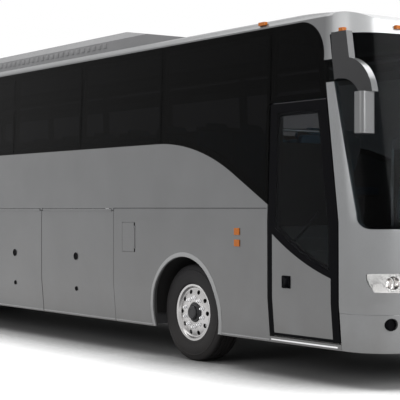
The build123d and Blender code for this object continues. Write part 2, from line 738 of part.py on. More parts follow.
with BuildPart() as rear_panel:
    add(wall_blank.part)
    with BuildSketch(ACROSS):
        box_corners((-FAR, SKIRT_Z - WALL), (REAR_SEAM_X, CANTRAIL_Z))
    extrude(amount=2 * FAR, mode=Mode.INTERSECT)
    add(rear_window.part, mode=Mode.SUBTRACT)
    add(tail_lamps.part, mode=Mode.SUBTRACT)
    with BuildSketch(Plane.YZ.offset(-FAR)):
        box_corners((-LID_HALF, LID_LOW_Z), (LID_HALF, LID_TOP_Z))
        with Locations((0, sum(REAR_WINDOW_Z) / 2)):
            RectangleRounded(2 * REAR_WINDOW_HALF - 120, REAR_WINDOW_Z[1] - REAR_WINDOW_Z[0] - 120, 60)
    extrude(amount=FAR + REAR_SEAM_X, mode=Mode.SUBTRACT)
    # Hinge pins of the engine lid and their brackets
    lid_axis = (TAIL_X + 30, LID_TOP_Z - HINGE_DROP)
    for y in (-LID_HINGE_Y, LID_HINGE_Y):
        with Locations((lid_axis[0], y, lid_axis[1])):
            Cylinder(HINGE_PIN_R, 140, rotation=(90, 0, 0))
        with Locations((lid_axis[0] + 3, y - 65, LID_TOP_Z - 5), (lid_axis[0] + 3, y + 65, LID_TOP_Z - 5)):
            Box(14, 10, 18)

# Roof unit: a faired box over the middle of the roof
with BuildPart() as air_conditioner:
    with BuildSketch(ACROSS):
        with BuildLine():
            Polyline(
                (UNIT_FRONT_X, ROOF_Z - 100),
                (UNIT_FRONT_X, ROOF_Z),
                (UNIT_FLAT_X, UNIT_TOP_Z),
                (UNIT_REAR_X + 250, UNIT_TOP_Z),
                (UNIT_REAR_X, ROOF_Z),
                (UNIT_REAR_X, ROOF_Z - 100),
                close=True,
            )
        make_face()
    extrude(amount=2 * FAR)
    with BuildSketch(Plane.YZ.offset(-FAR)):
        with BuildLine():
            Polyline(
                (-UNIT_HALF, 0),
                (-UNIT_HALF, UNIT_TOP_Z - 90),
                (-UNIT_HALF + 80, UNIT_TOP_Z + 1),
                (UNIT_HALF - 80, UNIT_TOP_Z + 1),
                (UNIT_HALF, UNIT_TOP_Z - 90),
                (UNIT_HALF, 0),
                close=True,
            )
        make_face()
    extrude(amount=2 * FAR, mode=Mode.INTERSECT)
    add(outer_form, mode=Mode.SUBTRACT)

# Cabin floor: the deck over the luggage, three steps down in front, the driver's platform
with BuildPart() as cabin_floor:
    with BuildSketch(ACROSS):
        with BuildLine():
            upper = [(DECK_REAR_X, DECK_Z)]
            lower = [(DECK_REAR_X, DECK_Z - DECK_THICK)]
            for i in range(3):
                x, z = DECK_FRONT_X + STEP_TREAD * i, DECK_Z - STEP_RISE * i
                upper += [(x, z), (x, z - STEP_RISE)]
                lower += [(x - DECK_THICK, z - DECK_THICK), (x - DECK_THICK, z - STEP_RISE - DECK_THICK)]
            upper.append((PLATFORM_FRONT_X, PLATFORM_Z))
            lower.append((PLATFORM_FRONT_X, PLATFORM_Z - DECK_THICK))
            Polyline(*upper, *reversed(lower), close=True)
        make_face()
    extrude(amount=2 * FAR)
    add(inner_form, mode=Mode.INTERSECT)
    with BuildSketch(Plane.XY):
        box_corners((STAIR_REAR_X - PLATE, -1400), (STAIR_FRONT_X + PLATE, STAIR_INNER_Y))
    extrude(amount=2000, mode=Mode.SUBTRACT)

# Stairwell: treads up from the entrance, end walls, the floor pan around them and the door post's bearing
with BuildPart() as stairwell:
    with BuildSketch(Plane.YZ.offset(STAIR_REAR_X - PLATE)):
        for (outer_y, z), (inner_y, inner_z) in zip(TREADS, TREADS[1:]):
            box_corners((outer_y, z - PLATE), (inner_y + PLATE, z))
            box_corners((inner_y, z - PLATE), (inner_y + PLATE, inner_z))
    extrude(amount=STAIR_FRONT_X - STAIR_REAR_X + 2 * PLATE)
    with BuildSketch(Plane.YZ.offset(STAIR_REAR_X - PLATE)) as stair_end:
        box_corners((TREADS[0][0], TREADS[0][1] - PLATE), (STAIR_INNER_Y, PLATFORM_Z))
    extrude(amount=PLATE)
    extrude(stair_end.sketch.moved(Location((STAIR_FRONT_X - STAIR_REAR_X + PLATE, 0, 0))), amount=PLATE, dir=(1, 0, 0))
    with BuildSketch(Plane.XY.offset(TREADS[0][1] - 2 * PLATE)) as pan:
        box_corners((FRONT_AXLE_X + 700, TREADS[0][0]), (FRONT_SEAM_X, -TREADS[0][0]))
    extrude(amount=PLATE)
    with BuildSketch(Plane.XY.offset(TREADS[0][1])):
        with Locations(DOOR_POST):
            Circle(DOOR_POST_R + 12)
            Circle(DOOR_POST_R + RUNNING_FIT, mode=Mode.SUBTRACT)
    extrude(amount=30)

# Luggage bays: floor, bulkheads and jacking pads
bulkheads_x = [REAR_BULKHEAD_X, FRONT_BULKHEAD_X, BAYS[0][2] - PLATE / 2] + [rear - PLATE / 2 for _, rear, _ in BAYS]

with BuildPart() as luggage_bays:
    with BuildSketch(Plane.XY.offset(BAY_FLOOR_Z - 40)):
        box_corners((REAR_BULKHEAD_X, -BAY_FLOOR_HALF), (FRONT_BULKHEAD_X + PLATE, BAY_FLOOR_HALF))
    extrude(amount=40)
    with BuildSketch(Plane.YZ) as bulkhead:
        with BuildLine():
            Polyline(
                (-BAY_FLOOR_HALF, BAY_FLOOR_Z - 5),
                (BAY_FLOOR_HALF, BAY_FLOOR_Z - 5),
                (BAY_WALL_HALF, 760),
                (BAY_WALL_HALF, DECK_Z - DECK_THICK),
                (-BAY_WALL_HALF, DECK_Z - DECK_THICK),
                (-BAY_WALL_HALF, 760),
                close=True,
            )
        make_face()
    for x in bulkheads_x:
        extrude(bulkhead.sketch.moved(Location((x, 0, 0))), amount=PLATE, dir=(1, 0, 0))
    with Locations(*[(x, y, BAY_FLOOR_Z - 48) for x in JACK_X for y in (-JACK_Y, JACK_Y)]):
        Box(140, 140, 20)

# Wheel housings: sheet arcs between the side walls and the chassis
with BuildPart() as right_housings:
    with BuildSketch(Plane.XZ.offset(HOUSING_INNER_Y)):
        for axle_x, radius in ARCHES:
            room = STEERING_ROOM if axle_x == FRONT_AXLE_X else HOUSING_ROOM
            arch_shape(axle_x, radius + room + HOUSING_SHEET, ARCH_TOP_Z + 5 + HOUSING_SHEET)
            arch_shape(axle_x, radius + room, ARCH_TOP_Z + 5, mode=Mode.SUBTRACT)
        box_corners((-FAR, 0), (FAR, HOUSING_LOW_Z), mode=Mode.SUBTRACT)
    extrude(amount=1400 - HOUSING_INNER_Y)
    add(inner_form, mode=Mode.INTERSECT)

with BuildPart() as wheel_housings:
    add(right_housings.part)
    add(mirror(right_housings.part, about=Plane.XZ, mode=Mode.PRIVATE))


def spring_legs(axle_x, half_length):
    """Air springs on the axle with the legs that carry the deck, left and right."""
    spots = [(axle_x + dx, dy) for dx in {-half_length, half_length} for dy in (-SPRING_Y, SPRING_Y)]
    with Locations(*[(x, y, AXLE_Z + 35) for x, y in spots]):
        Cylinder(SPRING_R, SPRING_TOP_Z - AXLE_Z - 35, align=(Align.CENTER, Align.CENTER, Align.MIN))
    with Locations(*[(x, y, SPRING_TOP_Z) for x, y in spots]):
        Box(150, 130, DECK_Z - DECK_THICK - SPRING_TOP_Z, align=(Align.CENTER, Align.CENTER, Align.MIN))


# Front axle: dropped beam with kingpin bosses
with BuildPart() as front_axle:
    with Locations((FRONT_AXLE_X, 0, AXLE_Z - 5)):
        Box(100, 2 * KINGPIN_Y - 60, 90)
    with Locations((FRONT_AXLE_X, -KINGPIN_Y, AXLE_Z), (FRONT_AXLE_X, KINGPIN_Y, AXLE_Z)):
        Cylinder(52, YOKE_GAP - 20)
        Cylinder(KINGPIN_R + RUNNING_FIT, YOKE_GAP, mode=Mode.SUBTRACT)
    spring_legs(FRONT_AXLE_X, 0)

# Drive axle: tube with the gear case in the middle
with BuildPart() as drive_axle:
    with Locations((DRIVE_AXLE_X, 0, AXLE_Z)):
        Cylinder(75, 2 * DUAL_TUBE_Y, rotation=(90, 0, 0))
        Cylinder(SPINDLE_R, 2 * DUAL_SPINDLE_Y, rotation=(90, 0, 0))
        Cylinder(205, 230, rotation=(90, 0, 0))
    with Locations((DRIVE_AXLE_X, -SPRING_Y, AXLE_Z), (DRIVE_AXLE_X, SPRING_Y, AXLE_Z)):
        Box(2 * SPRING_X + 160, 100, 90)
    spring_legs(DRIVE_AXLE_X, SPRING_X)

with BuildPart() as tag_axle:
    with Locations((TAG_AXLE_X, 0, AXLE_Z)):
        Cylinder(65, 2 * (SINGLE_Y - 80), rotation=(90, 0, 0))
        Cylinder(SPINDLE_R, 2 * SPINDLE_END_Y, rotation=(90, 0, 0))
    with Locations((TAG_AXLE_X, -SPRING_Y, AXLE_Z), (TAG_AXLE_X, SPRING_Y, AXLE_Z)):
        Box(2 * SPRING_X + 160, 100, 90)
    spring_legs(TAG_AXLE_X, SPRING_X)

with BuildPart() as engine:
    with Locations((ENGINE_X, 0, 500)):
        Box(950, 800, DECK_Z - DECK_THICK - 500, align=(Align.CENTER, Align.CENTER, Align.MIN))

# Left knuckle: yoke, kingpin, spindle and steering arm
with BuildPart() as knuckle_left:
    ear_z = YOKE_GAP / 2 + YOKE_EAR / 2
    with Locations((FRONT_AXLE_X, KINGPIN_Y + 30, AXLE_Z - ear_z), (FRONT_AXLE_X, KINGPIN_Y + 30, AXLE_Z + ear_z)):
        Box(90, 140, YOKE_EAR)
    with Locations((FRONT_AXLE_X, KINGPIN_Y + 82, AXLE_Z)):
        Box(90, 36, YOKE_GAP + 2 * YOKE_EAR)
    with Locations((FRONT_AXLE_X, KINGPIN_Y, AXLE_Z)):
        Cylinder(KINGPIN_R, YOKE_GAP + 2 * YOKE_EAR)
    with Locations((FRONT_AXLE_X, KINGPIN_Y + 90, AXLE_Z)):
        Cylinder(SPINDLE_R, SPINDLE_END_Y - KINGPIN_Y - 90, rotation=(-90, 0, 0), align=(Align.CENTER, Align.CENTER, Align.MIN))
    with Locations((FRONT_AXLE_X - STEER_ARM / 2, KINGPIN_Y, AXLE_Z - ear_z)):
        Box(STEER_ARM, 50, YOKE_EAR)
    with Locations((FRONT_AXLE_X - STEER_ARM, KINGPIN_Y, AXLE_Z - ear_z)):
        Cylinder(28, YOKE_EAR)
        Cylinder(TIE_PIN_R + RUNNING_FIT, YOKE_EAR, mode=Mode.SUBTRACT)

with BuildPart() as tie_rod:
    rod_z = AXLE_Z - YOKE_GAP / 2 - YOKE_EAR - 22
    with Locations((FRONT_AXLE_X - STEER_ARM, 0, rod_z)):
        Cylinder(14, 2 * KINGPIN_Y, rotation=(90, 0, 0))
    with Locations((FRONT_AXLE_X - STEER_ARM, -KINGPIN_Y, rod_z), (FRONT_AXLE_X - STEER_ARM, KINGPIN_Y, rod_z)):
        Cylinder(25, 34)
        Cylinder(TIE_PIN_R, 22 + YOKE_EAR, align=(Align.CENTER, Align.CENTER, Align.MIN))


def wheel_plane(axle_x, y):
    """Plane through the axle for a left-hand wheel: local X is radial, local Y points outwards."""
    return Plane(origin=(axle_x, y, AXLE_Z), x_dir=(1, 0, 0), z_dir=(0, 0, 1))


def tyre_outline():
    """Half section of a tyre, from rim to tread to rim, with its shoulders broken."""
    side, crown = TYRE_WIDTH / 2, TYRE_WIDTH / 2 - TYRE_SHOULDER
    Polyline(
        (RIM_R, side),
        (TYRE_R - TYRE_SHOULDER, side),
        (TYRE_R, crown),
        (TYRE_R, -crown),
        (TYRE_R - TYRE_SHOULDER, -side),
        (RIM_R, -side),
        close=True,
    )


rim_half = RIM_WIDTH / 2
bore_r = SPINDLE_R + RUNNING_FIT

# Front wheel: rim with flanges, outboard disc with hand holes, hub closed by its cap
with BuildPart() as front_rim:
    with BuildSketch(wheel_plane(FRONT_AXLE_X, SINGLE_Y)):
        with BuildLine():
            spindle_end = SPINDLE_END_Y - SINGLE_Y + 4
            Polyline(
                (bore_r, HUB_REAR),
                (HUB_R, HUB_REAR),
                (HUB_R, DISC_REAR),
                (BARREL_R, DISC_REAR),
                (BARREL_R, -rim_half),
                (RIM_R, -rim_half),
                (RIM_R, rim_half),
                (BARREL_R, rim_half),
                (BARREL_R, DISC_REAR + DISC_THICK),
                (HUB_R, DISC_REAR + DISC_THICK),
                (HUB_R, HUB_CAP),
                (0, HUB_CAP),
                (0, spindle_end),
                (bore_r, spindle_end),
                close=True,
            )
        make_face()
    revolve(axis=Axis((FRONT_AXLE_X, SINGLE_Y, AXLE_Z), (0, 1, 0)))
    disc_y = SINGLE_Y + DISC_REAR + DISC_THICK / 2
    with Locations(Plane(origin=(FRONT_AXLE_X, disc_y, AXLE_Z), x_dir=(1, 0, 0), z_dir=(0, 1, 0))):
        with PolarLocations(HAND_HOLE_RING_R, HAND_HOLES):
            Cylinder(HAND_HOLE_R, 60, mode=Mode.SUBTRACT)

# Drive wheel: twin rims on one recessed disc
with BuildPart() as drive_rim:
    middle = -DUAL_SPACING / 2
    with BuildSketch(wheel_plane(DRIVE_AXLE_X, DUAL_OUTER_Y)):
        with BuildLine():
            spindle_end = DUAL_SPINDLE_Y - DUAL_OUTER_Y + 4
            Polyline(
                (bore_r, DUAL_TUBE_Y + 12 - DUAL_OUTER_Y),
                (HUB_R, DUAL_TUBE_Y + 12 - DUAL_OUTER_Y),
                (HUB_R, middle - DISC_THICK / 2),
                (BARREL_R, middle - DISC_THICK / 2),
                (BARREL_R, -DUAL_SPACING - rim_half),
                (RIM_R, -DUAL_SPACING - rim_half),
                (RIM_R, rim_half),
                (BARREL_R, rim_half),
                (BARREL_R, middle + DISC_THICK / 2),
                (HUB_R, middle + DISC_THICK / 2),
                (HUB_R, spindle_end + 20),
                (0, spindle_end + 20),
                (0, spindle_end),
                (bore_r, spindle_end),
                close=True,
            )
        make_face()
    revolve(axis=Axis((DRIVE_AXLE_X, DUAL_OUTER_Y, AXLE_Z), (0, 1, 0)))
    with Locations(Plane(origin=(DRIVE_AXLE_X, DUAL_OUTER_Y + middle, AXLE_Z), x_dir=(1, 0, 0), z_dir=(0, 1, 0))):
        with PolarLocations(HAND_HOLE_RING_R, HAND_HOLES):
            Cylinder(HAND_HOLE_R, 60, mode=Mode.SUBTRACT)

with BuildPart() as front_tyre:
    with BuildSketch(wheel_plane(FRONT_AXLE_X, SINGLE_Y)):
        with BuildLine():
            tyre_outline()
        make_face()
    revolve(axis=Axis((FRONT_AXLE_X, SINGLE_Y, AXLE_Z), (0, 1, 0)))

to_tag = Location((TAG_AXLE_X - FRONT_AXLE_X, 0, 0))
tag_rim = front_rim.part.moved(to_tag)
tag_tyre = front_tyre.part.moved(to_tag)

with BuildPart() as drive_tyres:
    for y in (DUAL_OUTER_Y - SINGLE_Y, DUAL_OUTER_Y - DUAL_SPACING - SINGLE_Y):
        add(front_tyre.part.moved(Location((DRIVE_AXLE_X - FRONT_AXLE_X, y, 0))))

# Bay doors: wall section, hinge barrel along the top, two locks. Built on the right
bay_doors = {}
for name, rear_x, front_x in BAYS:
    low_x, high_x = rear_x + BAY_DOOR_GAP, front_x - BAY_DOOR_GAP
    with BuildPart() as bay_door:
        add(wall_blank.part)
        with BuildSketch(RIGHT):
            box_corners((low_x, SKIRT_Z - WALL), (high_x, SEAM_Z - 2 * HINGE_DROP))
        extrude(amount=SIDE_CUT, mode=Mode.INTERSECT)
        with BuildSketch(Plane.YZ.offset(low_x + BRACKET)):
            box_corners((-HINGE_Y - 4, SEAM_Z - 2 * HINGE_DROP - 10), (-HINGE_Y + 6, SEAM_Z - HINGE_DROP))
            with Locations((-HINGE_Y, SEAM_Z - HINGE_DROP)):
                Circle(HINGE_BARREL_R)
                Circle(HINGE_PIN_R + RUNNING_FIT, mode=Mode.SUBTRACT)
        extrude(amount=high_x - low_x - 2 * BRACKET)
        middle_x = (low_x + high_x) / 2
        with Locations((middle_x, -1295, LOCK_Z)):
            Cylinder(LOCK_R, 16, rotation=(90, 0, 0))
        with Locations((middle_x, -1284, LATCH_Z)):
            Cylinder(LATCH_R, 16, rotation=(90, 0, 0))
    bay_doors[name] = bay_door.part

# Filler flap, hinged at its front edge
flap_axis = (FLAP_HIGH[0] - HINGE_DROP, -HINGE_Y - 2)
with BuildPart() as filler_flap:
    add(wall_blank.part)
    with BuildSketch(Plane.XZ.offset(1278)):
        box_corners((FLAP_LOW[0] + 4, FLAP_LOW[1] + 4), (FLAP_HIGH[0] - 2 * HINGE_DROP, FLAP_HIGH[1] - 4))
    extrude(amount=100, mode=Mode.INTERSECT)
    with BuildSketch(Plane.XY.offset(FLAP_LOW[1] + 66)):
        box_corners((flap_axis[0] - 20, flap_axis[1] - 3), (flap_axis[0], flap_axis[1] + 5))
        with Locations(flap_axis):
            Circle(HINGE_BARREL_R)
            Circle(HINGE_PIN_R + RUNNING_FIT, mode=Mode.SUBTRACT)
    extrude(amount=FLAP_HIGH[1] - FLAP_LOW[1] - 132)

# Engine lid, hinged along its top edge
with BuildPart() as engine_lid:
    add(wall_blank.part)
    with BuildSketch(Plane.YZ.offset(-FAR)):
        box_corners((8 - LID_HALF, LID_LOW_Z + 8), (LID_HALF - 8, LID_TOP_Z - 2 * HINGE_DROP))
    extrude(amount=FAR + REAR_SEAM_X, mode=Mode.INTERSECT)
    # Cooling slots in two columns
    with BuildSketch(Plane.YZ.offset(-FAR)):
        with GridLocations(SLOT_SIZE[0] + 80, SLOT_PITCH, 2, SLOT_ROWS):
            with Locations((0, (LID_LOW_Z + LID_TOP_Z) / 2)):
                Rectangle(*SLOT_SIZE)
    extrude(amount=FAR + REAR_SEAM_X, mode=Mode.SUBTRACT)
    for y in (-LID_HINGE_Y, LID_HINGE_Y):
        with BuildSketch(Plane.XZ.offset(-y - 55)):
            box_corners((lid_axis[0] - 4, lid_axis[1] - 2 * HINGE_DROP), (lid_axis[0] + 6, lid_axis[1]))
            with Locations(lid_axis):
                Circle(HINGE_BARREL_R)
                Circle(HINGE_PIN_R + RUNNING_FIT, mode=Mode.SUBTRACT)
        extrude(amount=110)

# Roof hatches, hinged along their front edges
hatch_lids = []
for hatch_x in HATCHES_X:
    hinge_x, hinge_z = hatch_x + HATCH_LENGTH / 2 + HINGE_DROP, CURB_TOP_Z + HINGE_DROP - 4
    with BuildPart() as hatch_lid:
        with Locations((hatch_x, 0, CURB_TOP_Z + SEAT_GAP)):
            Box(HATCH_LENGTH, HATCH_WIDTH, HATCH_THICK, align=(Align.CENTER, Align.CENTER, Align.MIN))
        for y in (25, 25 - HATCH_WIDTH / 2 + 40):
            with BuildSketch(Plane.XZ.offset(-y - HATCH_WIDTH / 2 + 90)):
                box_corners((hinge_x - HINGE_DROP - 5, hinge_z - 4), (hinge_x, hinge_z + 6))
                with Locations((hinge_x, hinge_z)):
                    Circle(HINGE_BARREL_R)
                    Circle(HINGE_PIN_R + RUNNING_FIT, mode=Mode.SUBTRACT)
            extrude(amount=HATCH_WIDTH / 2 - 90)
    hatch_lids.append(hatch_lid.part)

# Entrance door: leaf with a window hole, outer panel, glass, and the lugs for its arms
with BuildSketch(RIGHT) as leaf_region:
    with BuildLine():
        Polyline(
            (DOORWAY_REAR_X + DOOR_GAP, DOOR_LOW_Z),
            (DOORWAY_REAR_X + DOOR_GAP, DOORWAY_TOP_Z - DOOR_GAP),
            (rake_x(DOORWAY_TOP_Z) - DOOR_GAP, DOORWAY_TOP_Z - DOOR_GAP),
            (rake_x(RAKE_FROM_Z) - DOOR_GAP, RAKE_FROM_Z),
            (rake_x(RAKE_FROM_Z) - DOOR_GAP, DOOR_LOW_Z),
            close=True,
        )
    make_face()

with BuildSketch(RIGHT) as door_panel_region:
    with BuildLine():
        panel_front, _, panel_rear = DOOR_PANEL_TOP
        Polyline(
            panel_rear,
            (panel_rear[0], DOOR_PANEL_LOW_Z),
            (panel_front[0], DOOR_PANEL_LOW_Z),
            panel_front,
        )
        ThreePointArc(*DOOR_PANEL_TOP)
    make_face()

with BuildSketch(RIGHT) as door_glass_region:
    with BuildLine():
        window_front, _, window_rear = DOOR_WINDOW_LOW
        Polyline(
            window_rear,
            (window_rear[0], DOOR_GLASS_TOP_Z),
            (rake_x(DOOR_GLASS_TOP_Z) - DOOR_BORDER, DOOR_GLASS_TOP_Z),
            (rake_x(RAKE_FROM_Z) - DOOR_BORDER, RAKE_FROM_Z),
            window_front,
        )
        ThreePointArc(*DOOR_WINDOW_LOW)
    make_face()

with BuildPart() as door_panel:
    add(glass_blank.part)
    with BuildSketch(RIGHT):
        add(door_panel_region.sketch_local)
        with Locations(HANDLE_CENTRE):
            Rectangle(HANDLE_SIZE, HANDLE_SIZE, mode=Mode.SUBTRACT)
    extrude(amount=SIDE_CUT, mode=Mode.INTERSECT)

with BuildPart() as door_glass:
    add(glass_blank.part)
    extrude(door_glass_region.sketch, amount=SIDE_CUT, dir=TO_RIGHT, mode=Mode.INTERSECT)

with BuildPart() as door_leaf:
    add(wall_blank.part)
    extrude(leaf_region.sketch, amount=SIDE_CUT, dir=TO_RIGHT, mode=Mode.INTERSECT)
    add(door_panel.part, mode=Mode.SUBTRACT)
    add(door_glass.part, mode=Mode.SUBTRACT)
    with BuildSketch(RIGHT):
        offset(door_glass_region.sketch_local, amount=-30)
    extrude(amount=SIDE_CUT, mode=Mode.SUBTRACT)
    for z in DOOR_ARM_Z:
        for lug_z in (z - DOOR_ARM_THICK / 2 - 8, z + DOOR_ARM_THICK / 2 + 8):
            with Locations((DOOR_PIN[0], DOOR_PIN[1] - 10, lug_z)):
                Box(56, 64, 14)
        with Locations((*DOOR_PIN, z)):
            Cylinder(DOOR_PIN_R, DOOR_ARM_THICK + 16)

with BuildPart() as door_arms:
    with BuildSketch(Plane.XY.offset(TREADS[0][1] + SEAT_GAP)):
        with Locations(DOOR_POST):
            Circle(DOOR_POST_R)
    extrude(amount=DOOR_ARM_Z[1] - TREADS[0][1] + 40)
    for z in DOOR_ARM_Z:
        with BuildSketch(Plane.XY.offset(z - DOOR_ARM_THICK / 2)):
            with BuildLine(mode=Mode.PRIVATE) as arm_line:
                Polyline(
                    DOOR_POST,
                    (DOOR_POST[0] - 60, DOOR_POST[1] + DOOR_ARM_BULGE),
                    (DOOR_POST[0] - 300, DOOR_POST[1] + 20),
                    DOOR_PIN,
                )
            trace(arm_line.line, line_width=34)
            with Locations(DOOR_PIN):
                Circle(DOOR_PIN_R + 13)
                Circle(DOOR_PIN_R + RUNNING_FIT, mode=Mode.SUBTRACT)
        extrude(amount=DOOR_ARM_THICK)

# Headlamps: clear lens over a housing with round reflectors
with BuildPart() as right_lens:
    add(glass_blank.part)
    extrude(lamp_outline.sketch, amount=600, dir=(1, 0, 0), mode=Mode.INTERSECT)

with BuildPart() as head_lamps:
    add(right_lens.part)
    add(mirror(right_lens.part, about=Plane.XZ, mode=Mode.PRIVATE))

with BuildPart() as right_lamp_housing:
    add(glass_form)
    extrude(lamp_outline.sketch, amount=600, dir=(1, 0, 0), mode=Mode.INTERSECT)
    with Locations(*[(LAMP_DEPTH_X + 230, -y, (LAMP_LOW[1] + LAMP_TOP_Z) / 2) for y in REFLECTORS_Y]):
        Cylinder(REFLECTOR_R, 400, rotation=(0, 90, 0), align=(Align.CENTER, Align.CENTER, Align.MIN), mode=Mode.SUBTRACT)

with BuildPart() as lamp_housings:
    add(right_lamp_housing.part)
    add(mirror(right_lamp_housing.part, about=Plane.XZ, mode=Mode.PRIVATE))

# Marker lamps on the sides, the cantrails and the header
with BuildPart() as marker_lamps:
    for side in (-1, 1):
        with Locations(*[(MARKER_X, side * 1295, z) for z in MARKER_Z]):
            Box(MARKER_SIZE[0], 30, MARKER_SIZE[1])
        with Locations((MARKER_TOP[0], side * MARKER_TOP[1], MARKER_TOP[2])):
            Box(100, 40, 34)
        with Locations((HEADER_CORNER_LAMP[0], side * HEADER_CORNER_LAMP[1], HEADER_CORNER_LAMP[2])):
            Box(60, 70, 34)
    with Locations(*[(x, y, HEADER_LAMP_Z) for x, y in HEADER_LAMPS]):
        Box(40, 100, 34)
    add(outer_form, mode=Mode.SUBTRACT)

# Mirrors on curved arms from the header corners
with BuildPart() as right_mirror:
    with BuildSketch(Plane.XZ.offset(MIRROR_ARM_Y[0])):
        with BuildLine():
            Polyline(*MIRROR_BRACKET)
            ThreePointArc(*MIRROR_OUTER_ARC)
            Line(MIRROR_OUTER_ARC[2], MIRROR_INNER_ARC[0])
            ThreePointArc(*MIRROR_INNER_ARC)
        make_face()
    extrude(amount=MIRROR_ARM_Y[1] - MIRROR_ARM_Y[0])
    with BuildSketch(Plane.XY.offset(MIRROR_HEAD_Z[0])):
        box_corners((MIRROR_HEAD_X[0], -MIRROR_HEAD_Y[1]), (MIRROR_HEAD_X[1], -MIRROR_HEAD_Y[0]))
    extrude(amount=MIRROR_HEAD_Z[1] - MIRROR_HEAD_Z[0])
    fillet(edges().filter_by(Axis.Z).sort_by(Axis.X)[-2:], MIRROR_HEAD_R)
    add(outer_form, mode=Mode.SUBTRACT)

with BuildPart() as mirrors:
    add(right_mirror.part)
    add(mirror(right_mirror.part, about=Plane.XZ, mode=Mode.PRIVATE))

# Wipers: pivot, arm and upright blade along the leaning glass
with BuildPart() as wipers:
    for y in (-WIPER_Y, WIPER_Y):
        lean = Plane(origin=(WIPER_PIVOT_X, y, WIPER_PIVOT_Z), x_dir=(0, 1, 0), z_dir=(1, 0, RAKE))
        with Locations((WIPER_PIVOT_X - 28, y, WIPER_PIVOT_Z)):
            Cylinder(WIPER_PIVOT_R, 60, rotation=(0, 90, 0))
        with BuildSketch(lean):
            with Locations((0, WIPER_ARM[1] / 2 - 10)):
                Rectangle(*WIPER_ARM)
            with Locations((0, WIPER_ARM[1] - 20)):
                Rectangle(*WIPER_BLADE)
        extrude(amount=-WIPER_THICK)
    add(outer_form, mode=Mode.SUBTRACT)

# Driver's place: dashboard with the steering column and wheel
with BuildPart() as dashboard:
    with BuildSketch(Plane.XZ.offset(700)):
        with BuildLine():
            Polyline(
                (6150, PLATFORM_Z),
                (6150, 1130),
                (6250, 1330),
                (6350, 1400),
                (FAR, 1400),
                (FAR, PLATFORM_Z),
                close=True,
            )
        make_face()
    extrude(amount=-1850)
    add(inner_form, mode=Mode.INTERSECT)
    with Locations(Plane(origin=(6020, DRIVER_Y, 1700), x_dir=(0, 1, 0), z_dir=(-0.49, 0, 0.87))):
        Cylinder(STEERING_WHEEL_R, 26)
        Cylinder(STEERING_WHEEL_R - 26, 26, mode=Mode.SUBTRACT)
        Box(2 * STEERING_WHEEL_R - 20, 36, 14)
        Cylinder(60, 40)
        Cylinder(28, 440, align=(Align.CENTER, Align.CENTER, Align.MAX))


def seat_outline(x, z):
    """Side outline of a seat: pedestal, cushion and leaning back."""
    points = ((-150, 0), (150, 0), (165, 300), (250, 320), (258, 430), (-130, 415))
    back = ((-290, 1120), (-395, 1110), (-250, 300), (-160, 290))
    Polyline(*[(x + dx, z + dz) for dx, dz in points + back], close=True)


with BuildPart() as right_seats:
    with BuildSketch(Plane.XZ.offset(SEAT_Y[0])):
        for i in range(SEAT_ROWS):
            with BuildLine():
                seat_outline(FIRST_SEAT_X - i * SEAT_PITCH, DECK_Z)
            make_face()
    extrude(amount=SEAT_Y[1] - SEAT_Y[0])

with BuildPart() as seats:
    add(right_seats.part)
    add(mirror(right_seats.part, about=Plane.XZ, mode=Mode.PRIVATE))
    with BuildSketch(Plane.XZ.offset(-DRIVER_Y + 250)):
        with BuildLine():
            seat_outline(5560, PLATFORM_Z)
        make_face()
    extrude(amount=-500)

# Luggage racks over the seats
with BuildPart() as right_rack:
    with BuildSketch(Plane.YZ.offset(RACK_REAR_X)):
        with BuildLine():
            Polyline((-780, 3130), (-1300, 3080), (-1300, 3290), (-1150, 3290), (-830, 3210), close=True)
        make_face()
    extrude(amount=RACK_FRONT_X - RACK_REAR_X)
    add(inner_form, mode=Mode.INTERSECT)

with BuildPart() as luggage_racks:
    add(right_rack.part)
    add(mirror(right_rack.part, about=Plane.XZ, mode=Mode.PRIVATE))


def mirrored(part):
    """The left-hand twin of a right-hand piece, or the other way round."""
    return mirror(part, about=Plane.XZ)


